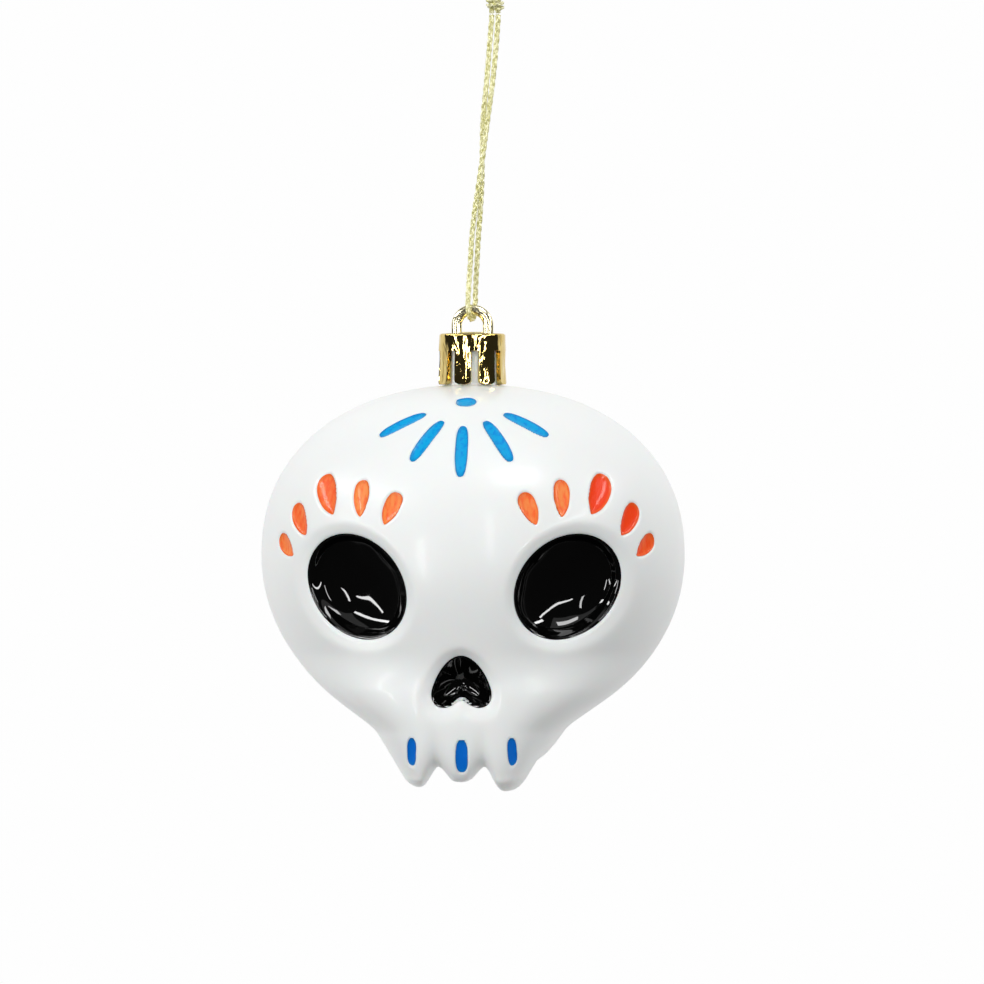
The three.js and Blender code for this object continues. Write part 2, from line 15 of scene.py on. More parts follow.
import bpy
import numpy as np
from mathutils import Euler, Matrix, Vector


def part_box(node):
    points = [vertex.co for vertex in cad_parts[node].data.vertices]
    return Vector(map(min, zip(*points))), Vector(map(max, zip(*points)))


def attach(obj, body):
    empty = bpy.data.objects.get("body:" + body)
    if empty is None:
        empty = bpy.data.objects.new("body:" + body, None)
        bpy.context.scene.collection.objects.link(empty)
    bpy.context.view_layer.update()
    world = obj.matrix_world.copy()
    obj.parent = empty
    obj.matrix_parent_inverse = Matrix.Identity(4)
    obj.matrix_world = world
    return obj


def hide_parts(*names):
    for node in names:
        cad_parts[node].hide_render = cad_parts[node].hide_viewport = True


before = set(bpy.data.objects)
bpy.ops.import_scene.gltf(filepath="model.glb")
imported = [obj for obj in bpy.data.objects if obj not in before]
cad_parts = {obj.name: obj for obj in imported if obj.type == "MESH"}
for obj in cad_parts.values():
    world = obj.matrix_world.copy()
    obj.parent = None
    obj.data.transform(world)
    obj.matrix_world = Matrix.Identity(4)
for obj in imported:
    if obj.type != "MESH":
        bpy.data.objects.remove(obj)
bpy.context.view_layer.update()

LOG = logging.getLogger("skull_ornament")
MM = 0.001

Array = np.ndarray
Colour = tuple[float, float, float, float]


class Body(Enum):
    """The bodies that the pieces ride on."""

    CORD = "cord"
    CAP = "cap"
    SKULL = "skull"


class Side(Enum):
    """The two sides of the face, as the sign of X."""

    RIGHT = 1
    LEFT = -1

    @property
    def word(self) -> str:
        """The side's name in lower case."""
        return self.name.lower()


def linear(colour: str) -> Colour:
    """Turns an sRGB hex colour into linear red, green, blue and alpha.

    Args:
        colour: six hex digits after a hash mark.

    Returns:
        The four linear values, with alpha 1.
    """
    parts = [int(colour[start:start + 2], 16) / 255 for start in (1, 3, 5)]
    red, green, blue = (p / 12.92 if p <= 0.04045 else ((p + 0.055) / 1.055) ** 2.4 for p in parts)
    return red, green, blue, 1.0


def smooth(low: float, high: float, value: Array) -> Array:
    """Rises from 0 at low to 1 at high along 3 t squared less 2 t cubed."""
    t = np.clip((value - low) / (high - low), 0.0, 1.0)
    return t * t * (3.0 - 2.0 * t)


def unit(vectors: Array) -> Array:
    """Scales each vector to length 1."""
    return vectors / np.linalg.norm(vectors, axis=-1, keepdims=True)


def waves(points: Array, wavelength: float, seed: int, count: int = 24) -> Array:
    """A smooth uneven field: the mean of plane sine waves in seeded directions.

    Args:
        points: places in millimetres, with X, Y and Z last.
        wavelength: the waves' length in millimetres.
        seed: picks the directions and phases.
        count: how many waves are summed.

    Returns:
        One value a point, mostly between -1 and 1.
    """
    random = np.random.default_rng(seed)
    directions = unit(random.normal(size=(count, 3))) * (2 * math.pi / wavelength)
    phases = random.uniform(0, 2 * math.pi, count)
    return np.sin(points @ directions.T + phases).sum(-1) * math.sqrt(2 / count) / 2


@dataclass
class Surface:
    """One piece's mesh: points, faces, and a pair of corner coordinates for each face corner."""

    points: Array
    faces: list[Array]
    corners: list[Array]

    @staticmethod
    def rings(rings: Array, first: Array | None = None, last: Array | None = None) -> Surface:
        """Skins a stack of closed rings and closes each end that has a pole with a fan.

        Args:
            rings: points by ring and column.
            first: the pole before the first ring.
            last: the pole after the last ring.

        Returns:
            The surface, its corner coordinates running 0 to 1 round and along the stack.
        """
        count, columns = rings.shape[:2]
        ring, column = np.meshgrid(np.arange(count - 1), np.arange(columns), indexing="ij")
        after = (column + 1) % columns
        quads = np.stack([ring * columns + column, ring * columns + after,
                          (ring + 1) * columns + after, (ring + 1) * columns + column], -1)
        round_share = np.stack([column, column + 1, column + 1, column], -1) / columns
        along_share = np.stack([ring, ring, ring + 1, ring + 1], -1) / (count - 1)
        points = [rings.reshape(-1, 3)]
        faces = [quads.reshape(-1, 4)]
        corners = [np.stack([round_share, along_share], -1).reshape(-1, 4, 2)]
        edge = np.arange(columns)
        turned = (edge + 1) % columns
        for pole, start, share in ((first, 0, 0.0), (last, (count - 1) * columns, 1.0)):
            if pole is None:
                continue
            tip = np.full(columns, sum(len(p) for p in points))
            pair = (edge, turned) if share else (turned, edge)
            points.append(pole.reshape(1, 3))
            faces.append(np.stack([tip, start + pair[0], start + pair[1]], -1))
            places = np.stack([edge + 0.5, edge, edge + 1], -1) / columns
            corners.append(np.stack([places, np.full_like(places, share)], -1))
        return Surface(np.concatenate(points), faces, corners)

    @staticmethod
    def joined(parts: list[Surface]) -> Surface:
        """Puts several surfaces into one.

        Args:
            parts: the surfaces.

        Returns:
            One surface with all their points, faces and corner coordinates.
        """
        starts = np.cumsum([0] + [len(part.points) for part in parts])
        faces = [face + start for part, start in zip(parts, starts) for face in part.faces]
        corners = [corner for part in parts for corner in part.corners]
        return Surface(np.concatenate([part.points for part in parts]), faces, corners)

    def outward(self) -> Surface:
        """Turns the faces over if they enclose a negative volume.

        Six times the volume is the sum of a . (b x c) over the triangles a, b, c of the faces.

        Returns:
            The same surface.
        """
        volume = 0.0
        for face in self.faces:
            a = self.points[face[:, 0]]
            for second in range(1, face.shape[1] - 1):
                b, c = self.points[face[:, second]], self.points[face[:, second + 1]]
                volume += np.einsum("ij,ij->", a, np.cross(b, c))
        if volume < 0:
            self.faces = [face[:, ::-1] for face in self.faces]
            self.corners = [corner[:, ::-1] for corner in self.corners]
        return self

    def moved(self, offset: Array) -> Surface:
        """The same surface, moved by an offset."""
        self.points = self.points + offset
        return self

    def build(self, name: str, material: bpy.types.Material, sharp: float,
              values: dict[str, Array] | None = None) -> bpy.types.Object:
        """Makes the object, in metres, with its corner coordinates as a UV map.

        Args:
            name: the piece's name.
            material: its finish.
            sharp: edges that bend by more than this many degrees are drawn sharp.
            values: named values for each point, for the finish to read.

        Returns:
            The linked object, at the origin.
        """
        mesh = bpy.data.meshes.new(name)
        faces = [face for part in self.faces for face in part.tolist()]
        mesh.from_pydata((self.points * MM).tolist(), [], faces)
        layer = mesh.uv_layers.new(name="UVMap")
        flat = np.concatenate([corner.reshape(-1, 2) for corner in self.corners])
        layer.data.foreach_set("uv", flat.astype(np.float32).ravel())
        for key, value in (values or {}).items():
            attribute = mesh.attributes.new(key, "FLOAT", "POINT")
            attribute.data.foreach_set("value", value.astype(np.float32))
        mesh.polygons.foreach_set("use_smooth", np.ones(len(mesh.polygons), bool))
        mesh.set_sharp_from_angle(angle=math.radians(sharp))
        mesh.materials.append(material)
        return placed(name, mesh)


def placed(name: str, data: bpy.types.ID) -> bpy.types.Object:
    """Links a new object into the scene, at the origin.

    Args:
        name: its name.
        data: its mesh, light or camera.

    Returns:
        The object.
    """
    thing = bpy.data.objects.new(name, data)
    bpy.context.scene.collection.objects.link(thing)
    return thing


def swept(path: Array, outline: Array, side: Array) -> Surface:
    """Carries an outline along a path: each point is path + side * u + (side x tangent) * v.

    Args:
        path: the path's points.
        outline: u and v of the outline, the same all along or one set for each path point.
        side: a direction that the path never runs along, which u keeps to.

    Returns:
        The swept surface, closed at both ends, faces outward.
    """
    tangent = unit(np.gradient(path, axis=0))
    across = unit(side - tangent * (tangent @ side)[:, None])
    over = np.cross(tangent, across)
    shape = np.broadcast_to(outline, (len(path),) + outline.shape[-2:])
    rings = path[:, None] + across[:, None] * shape[..., :1] + over[:, None] * shape[..., 1:]
    return Surface.rings(rings, path[0], path[-1]).outward()


def rounded(half_u: float, half_v: float, power: float, count: int) -> Array:
    """A rounded box outline, |u / half_u| ^ power + |v / half_v| ^ power = 1.

    Args:
        half_u: half the width along u.
        half_v: half the width along v.
        power: 2 for an ellipse, and more for a squarer outline.
        count: how many points it has.

    Returns:
        U and v of each point.
    """
    turn = np.arange(count) * (2 * math.pi / count)
    bend = 2 / power
    u = half_u * np.sign(np.cos(turn)) * np.abs(np.cos(turn)) ** bend
    v = half_v * np.sign(np.sin(turn)) * np.abs(np.sin(turn)) ** bend
    return np.stack([u, v], -1)


def curve_through(points: Array, spacing: float, fineness: int = 24) -> Array:
    """A Catmull-Rom curve through points, resampled at even steps.

    Each stretch is a cubic whose slope at a point is half the way from its neighbour before to
    its neighbour after; the two ends are mirrored outward for their slopes.

    Args:
        points: the points that the curve passes.
        spacing: the distance between samples.
        fineness: how many points each stretch is worked out at.

    Returns:
        The samples, from the first point to the last.
    """
    before = 2 * points[:1] - points[1:2]
    after = 2 * points[-1:] - points[-2:-1]
    padded = np.concatenate([before, points, after])
    p0, p1, p2, p3 = (padded[i:len(padded) - 3 + i] for i in range(4))
    t = np.linspace(0, 1, fineness, endpoint=False)[:, None, None]
    cubic = 0.5 * (2 * p1 + (p2 - p0) * t + (2 * p0 - 5 * p1 + 4 * p2 - p3) * t ** 2
                   + (3 * p1 - p0 - 3 * p2 + p3) * t ** 3)
    fine = np.concatenate([cubic.transpose(1, 0, 2).reshape(-1, 3), points[-1:]])
    lengths = np.concatenate([[0.0], np.cumsum(np.linalg.norm(np.diff(fine, axis=0), axis=1))])
    places = np.linspace(0, lengths[-1], int(round(lengths[-1] / spacing)) + 1)
    return np.stack([np.interp(places, lengths, fine[:, axis]) for axis in range(3)], -1)


def signed_distance(places: Array, outline: Array) -> Array:
    """How far places lie outside a closed outline in the plane; inside it is negative.

    The distance is the least one to the outline's sides, and a place is inside when a ray from
    it crosses an odd number of sides.

    Args:
        places: points in the plane.
        outline: the corners of the outline in order.

    Returns:
        One distance a place.
    """
    start, end = outline, np.roll(outline, -1, axis=0)
    side = end - start
    offset = places[:, None] - start
    share = np.clip((offset * side).sum(-1) / (side * side).sum(-1), 0, 1)
    least = np.linalg.norm(offset - side * share[..., None], axis=-1).min(1)
    above = start[:, 1] > places[:, None, 1]
    crossing = above != (end[:, 1] > places[:, None, 1])
    steep = np.where(side[:, 1] == 0, 1.0, side[:, 1])
    cross_at = start[:, 0] + (places[:, None, 1] - start[:, 1]) * side[:, 0] / steep
    inside = (crossing & (places[:, None, 0] < cross_at)).sum(1) % 2 == 1
    return np.where(inside, -least, least)


@dataclass
class SkullForm:
    """The skull's plain form, from the middle of the cranium's widest section.

    Over that section it is a superellipsoid. Under it, each level section blends from an ellipse
    to a squared jaw, and the base rounds off with the three lobes of the teeth in front.
    """

    half_width: float = 40.0
    half_depth: float = 35.5
    crown_rise: float = 32.3
    crown_power: float = 2.22
    cheek_drop: float = 34.85
    back_drop: float = 41.5
    base_drop: float = 39.3
    wall: float = 1.8
    chin_half_width: float = 12.65
    chin_drop: float = 41.55
    jaw_taper: float = 0.565
    jaw_top: float = 25.0
    jaw_blend: float = 5.0
    muzzle_reach: float = 29.45
    muzzle_taper: float = 0.06
    jaw_squareness: float = 1.5
    base_rounding: float = 11.0
    tooth_pitch: float = 8.7
    tooth_shift: float = -0.55
    tooth_drops: tuple[float, ...] = (4.05, 2.8, 4.65)
    tooth_row_depth: float = 9.0
    tooth_row_fade: float = 4.0
    tooth_roundness: float = 3.2
    outer_tooth_share: float = 0.6
    halvings: int = 34
    samples: int = 48

    def section(self, z: Array) -> tuple[Array, Array, Array]:
        """Half width, front reach and back reach of the level section at heights under 0.

        Each of the first two is the rounded larger of an ellipse's reach and the jaw's.

        Args:
            z: the heights.

        Returns:
            The half widths, the front reaches and the back reaches.
        """
        low = np.minimum(z, -self.jaw_top) + self.chin_drop

        def ellipse(reach: float, height: float) -> Array:
            """The half width at z of an ellipse with this reach and height."""
            return reach * np.sqrt(np.clip(1 - (z / height) ** 2, 0, None))

        def blended(a: Array, b: Array) -> Array:
            """The larger of two widths, rounded where they cross."""
            near = np.clip(self.jaw_blend - np.abs(a - b), 0, None)
            return np.maximum(a, b) + near ** 2 / (4 * self.jaw_blend)

        width = blended(ellipse(self.half_width, self.cheek_drop),
                        self.chin_half_width + self.jaw_taper * low)
        front = blended(ellipse(self.half_depth, self.cheek_drop),
                        self.muzzle_reach + self.muzzle_taper * low)
        return width, front, ellipse(self.half_depth, self.back_drop)

    def base_reach(self, x: Array, y: Array) -> Array:
        """How far down the base reaches, with a lobe for each tooth in front.

        A lobe is drop * (1 - |sin t| ^ roundness), t being a half turn for each tooth's pitch.

        Args:
            x: places to the side.
            y: places to the back.

        Returns:
            The base's drop at each place.
        """
        fade_from = self.muzzle_reach - self.tooth_row_depth - self.tooth_row_fade / 2
        front = 1 - smooth(0, self.tooth_row_fade, fade_from + y)
        lobes = np.zeros_like(x)
        for index, drop in enumerate(self.tooth_drops):
            off = np.abs(x - self.tooth_shift - (index - 1) * self.tooth_pitch) / self.tooth_pitch
            outer = np.abs(x - self.tooth_shift) > self.tooth_pitch
            turn = math.pi * off * np.where(outer, self.outer_tooth_share, 1)
            lobe = drop * (1 - np.abs(np.sin(turn)) ** self.tooth_roundness)
            lobes += np.where(turn < math.pi / 2, lobe, 0)
        return self.base_drop + lobes * front

    def gauge(self, points: Array) -> Array:
        """Zero at the middle, 1 on the plain skin and more outside it.

        Above, it is (level ^ p + (z / rise) ^ p) ^ (1 / p), level being the section's ellipse;
        below, the same of the squared level section and the share of the base's drop.

        Args:
            points: places with X, Y and Z last.

        Returns:
            One value a place.
        """
        x, y, z = np.moveaxis(points, -1, 0)
        power = self.crown_power
        level = np.hypot(x / self.half_width, y / self.half_depth)
        up = (level ** power + (np.clip(z, 0, None) / self.crown_rise) ** power) ** (1 / power)
        below = np.clip(z, None, 0)
        width, front, back = self.section(below)
        middle, depth = (back - front) / 2, (back + front) / 2
        square = 2 + self.jaw_squareness * smooth(self.cheek_drop / 2, self.cheek_drop, -below)
        sides = (np.abs(x) / width) ** square + (np.abs(y - middle) / depth) ** square
        round_level = sides ** (1 / square)
        corner = self.base_rounding
        drop = -below / self.base_reach(x, y)
        return np.where(z >= 0, up, (round_level ** corner + drop ** corner) ** (1 / corner))

    def reach(self, directions: Array) -> Array:
        """Distance from the middle to the plain skin, by halving.

        Args:
            directions: unit directions.

        Returns:
            One distance a direction.
        """
        near = np.zeros(directions.shape[:-1])
        far = np.full_like(near, self.half_width + self.half_depth)
        for _ in range(self.halvings):
            mid = (near + far) / 2
            inside = self.gauge(directions * mid[..., None]) < 1
            near, far = np.where(inside, mid, near), np.where(inside, far, mid)
        return near

    def skin(self, points: Array, sink: Array | float = 0.0) -> Array:
        """The skin's points in the directions of others, sunk towards the middle."""
        directions = unit(points)
        return directions * (self.reach(directions) - sink)[..., None]

    def face(self, places: Array) -> Array:
        """The plain skin's points that the front view sees at X and Z.

        Each line along Y is first sampled to find where it enters the skull, then halved.

        Args:
            places: X and Z.

        Returns:
            The points on the skin.
        """
        steps = np.linspace(-self.half_depth - self.muzzle_reach, 0, self.samples)
        lines = np.stack(np.broadcast_arrays(places[:, :1], steps, places[:, 1:]), -1)
        entry = np.argmax(self.gauge(lines) < 1, axis=1).clip(1)
        near, far = steps[entry], steps[entry - 1]
        for _ in range(self.halvings):
            mid = (near + far) / 2
            inside = self.gauge(np.stack([places[:, 0], mid, places[:, 1]], -1)) < 1
            near, far = np.where(inside, mid, near), np.where(inside, far, mid)
        return np.stack([places[:, 0], near, places[:, 1]], -1)

    def normal(self, point: Array) -> Array:
        """The outward direction of the plain skin at one point: the gauge's slope along X, Y, Z."""
        steps = np.eye(3) * self.wall / 2
        return unit(self.gauge(point + steps) - self.gauge(point - steps))


@dataclass
class Bowl:
    """A socket or the nose: a steep sided bowl inside an outline of the front view.

    The skin flares inward towards the outline, and rolls over a lip that slopes 45 degrees at
    the outline. The black coat starts there, keeps to the slope for a short way, falls down a
    short wall and then along a bowl, whose depth at a share s of the way out is
    depth * (1 - s ^ squareness). Its floor ripples and leans, and its inner rings are drawn
    towards circles by the rounding.
    """

    form: SkullForm
    name: str
    outline: Array
    depth: float
    flare: float = 0.9
    flare_reach: float = 1.5
    bead: float = 0.07
    bead_place: float = 1.8
    bead_reach: float = 0.9
    lip: float = 1.0
    lip_keep: float = 0.3
    lift: float = 0.05
    coat: float = 0.6
    wall: float = 0.0
    wall_reach: float = 0.7
    lean: float = -0.09
    rounding: float = 0.0
    squareness: float = 2.0
    levels: int = 64
    crowding: float = 0.7
    calm_power: float = 4.0
    rim_coat_share: float = 0.1
    rim_coat_power: float = 8.0
    shell_steepness: float = 9.0
    ripple: float = 0.185
    ripple_length: float = 6.0
    seed: int = 8113
    centre: Array = field(init=False)
    middle: Array = field(init=False)
    inward: Array = field(init=False)

    def __post_init__(self) -> None:
        """Finds the bowl's middle on the face and its inward axis."""
        self.centre = self.outline.mean(0)
        self.middle = self.form.face(self.centre[None])[0]
        self.inward = -self.form.normal(self.middle)

    def outside(self, points: Array) -> Array:
        """How far points of the face lie outside the outline in the front view."""
        return signed_distance(points[:, [0, 2]], self.outline)

    def flare_sink(self, outside: Array) -> Array:
        """How far the skin sinks towards the skull's middle near the outline, less a soft bead.

        Both are bell curves of the distance, exp(-(distance / reach) ^ 2).

        Args:
            outside: distances outside the outline.

        Returns:
            The sink at each distance.
        """
        away = np.clip(outside, 0, None)
        raised = self.bead * np.exp(-(((away - self.bead_place) / self.bead_reach) ** 2))
        return self.flare * np.exp(-((away / self.flare_reach) ** 2)) - raised

    def lip_fall(self, outside: Array) -> Array:
        """How far the lip falls along the axis: a rolled edge, and 45 degrees inside it.

        Args:
            outside: distances outside the outline.

        Returns:
            The fall at each distance, an arc of the lip's radius and then a straight line.
        """
        start = self.lip * math.sqrt(0.5)
        over = np.clip(start - outside, 0, start)
        return self.lip - np.sqrt(self.lip ** 2 - over ** 2) + np.clip(-outside, 0, None)

    def shell_fall(self, outside: Array) -> Array:
        """How far the shell falls: with the lip, then quickly down behind the coat.

        Args:
            outside: distances from the outline, negative inside it.

        Returns:
            The fall at each distance.
        """
        inside = self.shell_steepness * np.clip(-outside - self.lip_keep, 0, None)
        floor = self.depth + self.wall + self.lip + 2 * self.coat
        return np.minimum(self.lip_fall(outside) + inside, floor)

    def coat_surface(self) -> Surface:
        """The black coat: a thin cup from the lip to the floor, a little uneven.

        Its rings are the outline scaled by shares that crowd towards the lip, laid on the plain
        skin and moved inward by the fall and the unevenness, which fades as 1 - s ^ 4 to the lip.

        Returns:
            The cup, closed by an underside.
        """
        share = np.cos(np.linspace(0, math.pi / 2, self.levels))[:-1] ** self.crowding
        offset = self.outline - self.centre
        radius = np.linalg.norm(offset, axis=1)
        round_offset = offset * (radius.mean() / radius)[:, None]
        blend = 1 - self.rounding * (1 - share[:, None, None])
        flat = self.centre + (offset * blend + round_offset * (1 - blend)) * share[:, None, None]
        inside = (1 - share[:, None]) * radius
        skin = self.form.face(flat.reshape(-1, 2)).reshape(flat.shape[:2] + (3,))
        skin = skin - unit(skin) * self.flare
        kept = np.clip(inside - self.lip_keep, 0, None)
        bowl = self.depth * (1 - share[:, None] ** self.squareness)
        bowl = bowl + self.wall * (1 - np.exp(-((kept / self.wall_reach) ** 2)))
        slope = self.lip_keep * (1 - np.exp(-inside / self.lip_keep))
        fall = self.lip_fall(0 * inside) + slope + bowl * kept / (kept + self.lip_keep)
        uneven = self.ripple * waves(skin * [self.mirror, 1, 1], self.ripple_length, self.seed)
        uneven += self.lean * (skin[..., 2] - skin[..., 2].mean())
        calm = 1 - share[:, None] ** self.calm_power
        top = skin + self.inward * (fall - self.lift + uneven * calm)[..., None]
        thinned = 1 - (1 - self.rim_coat_share) * share[:, None] ** self.rim_coat_power
        under = top + self.inward * (self.coat * thinned)[..., None]
        rings = np.concatenate([top[::-1], under])
        return Surface.rings(rings, top[-1].mean(0), under[-1].mean(0)).outward()

    @property
    def mirror(self) -> float:
        """-1 on the left side of the face and 1 elsewhere, so that both eyes ripple alike."""
        return -1.0 if self.middle[0] < -self.depth else 1.0


@dataclass
class Mark:
    """One enamel mark: its ends in the front view, its width, and how its outline bends.

    The outline is u = half length * bend(cos t), v = half width * ((1 + cos t) / 2) ^ point *
    bend(sin t), in the plane of its two ends, with bend(w) = |w| ^ square keeping the sign.
    """

    form: SkullForm
    name: str
    near: tuple[float, float]
    far: tuple[float, float]
    width_share: float
    point: float
    square: float
    trough: float = 0.42
    edge_sink: float = 0.12
    edge_roll: float = 0.16
    roll_reach: float = 0.4
    steepness: float = 2.6
    recess: float = 0.9
    dish_power: float = 0.6
    base: float = 0.2
    wobble: float = 0.07
    wobble_length: float = 2.5
    seed: int = 11
    columns: int = 96
    levels: int = 12
    middle: Array = field(init=False)
    along: Array = field(init=False)
    over: Array = field(init=False)
    half_length: float = field(init=False)

    def __post_init__(self) -> None:
        """Lays the mark's plane through its two ends on the skin."""
        near, far = self.form.face(np.array([self.near, self.far]))
        self.middle = (near + far) / 2
        self.half_length = float(np.linalg.norm(far - near) / 2)
        self.along = unit(far - near)
        outward = self.form.normal(self.form.skin(self.middle[None])[0])
        self.over = unit(np.cross(outward, self.along))

    def outline(self) -> Array:
        """The outline in the mark's plane, a little uneven as a brush leaves it.

        Returns:
            U and v of each point, from the mark's middle.
        """
        turn = np.arange(self.columns) * (2 * math.pi / self.columns)
        cos, sin = np.cos(turn), np.sin(turn)
        narrow = ((1 + cos) / 2) ** self.point
        u = self.half_length * np.sign(cos) * np.abs(cos) ** self.square
        v = self.half_length * self.width_share * narrow * np.sign(sin) * np.abs(sin) ** self.square
        flat = np.stack([u, v], -1)
        places = np.stack([u, v, np.full_like(u, self.middle[0])], -1)
        uneven = waves(places, self.wobble_length, self.seed)
        return flat * (1 + self.wobble * uneven / np.maximum(self.half_length, 1.0))[:, None]

    def outside(self, points: Array) -> Array:
        """How far points lie outside the outline, seen from the skull's middle in the plane.

        Args:
            points: places near the mark.

        Returns:
            One distance a place, negative inside.
        """
        normal = np.cross(self.along, self.over)
        onto = points * ((self.middle @ normal) / (points @ normal))[:, None] - self.middle
        return signed_distance(np.stack([onto @ self.along, onto @ self.over], -1), self.outline())

    def shell_sink(self, outside: Array) -> Array:
        """Depth of the shell's trough: it rolls in over the edge and hides under the enamel."""
        rolled = self.edge_roll * np.clip(1 - outside / self.roll_reach, 0, 1) ** 2
        return np.minimum(rolled + self.steepness * np.clip(-outside, 0, None), self.recess)

    def pad(self) -> tuple[Surface, Array]:
        """The enamel, dished as (1 - share ^ 2) ^ dish power from its edge to its middle.

        Returns:
            The surface, and for each point its share of the way from the middle to the edge.
        """
        share = np.linspace(0, 1, self.levels + 1)[1:]
        flat = self.outline()[None] * share[:, None, None]
        spots = self.middle + flat[..., :1] * self.along + flat[..., 1:] * self.over
        dish = self.edge_sink + self.trough * (1 - share ** 2) ** self.dish_power
        deepest = self.edge_sink + self.trough
        top = self.form.skin(spots, dish[:, None])
        bottom = self.form.skin(spots, deepest + self.base)
        first = self.form.skin(self.middle[None], deepest)
        last = self.form.skin(self.middle[None], deepest + self.base)
        surface = Surface.rings(np.concatenate([top, bottom[::-1]]), first, last).outward()
        under = np.ones(self.columns * self.levels)
        return surface, np.concatenate([np.repeat(share, self.columns), under, [0, 1]])


def add_node(tree: bpy.types.NodeTree, kind: str, inputs: dict[str | int, object] | None = None,
             **settings: object) -> bpy.types.Node:
    """Adds one node with its settings, and fills or links its inputs.

    Args:
        tree: the node tree.
        kind: the node's Blender type, less its first word, ShaderNode.
        inputs: for each input, by name or place, its value or the output that feeds it.
        settings: the node's own properties.

    Returns:
        The new node.
    """
    node = tree.nodes.new(f"ShaderNode{kind}")
    for key, value in settings.items():
        setattr(node, key, value)
    for key, value in (inputs or {}).items():
        if isinstance(value, bpy.types.NodeSocket):
            tree.links.new(value, node.inputs[key])
        else:
            node.inputs[key].default_value = value
    return node


def new_material(name: str) -> tuple[bpy.types.Material, bpy.types.NodeTree, bpy.types.NodeSocket]:
    """Starts a material.

    Args:
        name: its name.

    Returns:
        The material, its empty node tree and its Object coordinates.
    """
    material = bpy.data.materials.new(name)
    material.use_nodes = True
    tree = material.node_tree
    tree.nodes.clear()
    return material, tree, add_node(tree, "TexCoord").outputs["Object"]


def close_material(tree: bpy.types.NodeTree, sockets: dict[str, object]) -> None:
    """Ends a material with a principled shader that has these values or links."""
    shader = add_node(tree, "BsdfPrincipled", sockets)
    add_node(tree, "OutputMaterial", {"Surface": shader.outputs["BSDF"]})


@dataclass(frozen=True)
class LacqueredStyrene:
    """White polystyrene, blow moulded and lacquered.

    To the eye it is a soft deep white with pale reflections and the faintest orange peel.
    """

    colour: str = "#f0f2f1"
    roughness: float = 0.34
    specular: float = 0.3
    coat: float = 0.1
    coat_roughness: float = 0.05
    glow: float = 0.15
    peel_size: float = 2.2
    peel_height: float = 0.004
    peel_strength: float = 0.15

    def material(self) -> bpy.types.Material:
        """Builds the finish, with its peel's scale from the peel's real size.

        Returns:
            The material.
        """
        material, tree, places = new_material("lacquered_styrene")
        peel = add_node(tree, "TexNoise", {
            "Vector": places, "Scale": 1 / (self.peel_size * MM), "Detail": 1.0})
        bump = add_node(tree, "Bump", {
            "Height": peel.outputs["Fac"], "Strength": self.peel_strength,
            "Distance": self.peel_height * MM})
        close_material(tree, {
            "Base Color": linear(self.colour), "Roughness": self.roughness,
            "Specular IOR Level": self.specular, "Coat Weight": self.coat,
            "Coat Roughness": self.coat_roughness, "Subsurface Weight": self.glow,
            "Subsurface Scale": self.peel_size * MM, "Normal": bump.outputs["Normal"]})
        return material


@dataclass(frozen=True)
class BlackLacquer:
    """Black alkyd lacquer, flooded into the sockets: to the eye wet, and almost a mirror."""

    colour: str = "#050505"
    roughness: float = 0.04
    ior: float = 1.52
    ripple_size: float = 1.6
    ripple_height: float = 0.02
    ripple_strength: float = 0.35

    def material(self) -> bpy.types.Material:
        """Builds the finish, with the slow ripple that such a thick coat dries with.

        Returns:
            The material.
        """
        material, tree, places = new_material("black_lacquer")
        ripple = add_node(tree, "TexNoise", {
            "Vector": places, "Scale": 1 / (self.ripple_size * MM), "Detail": 1.0})
        bump = add_node(tree, "Bump", {
            "Height": ripple.outputs["Fac"], "Strength": self.ripple_strength,
            "Distance": self.ripple_height * MM})
        close_material(tree, {
            "Base Color": linear(self.colour), "Roughness": self.roughness, "IOR": self.ior,
            "Normal": bump.outputs["Normal"]})
        return material


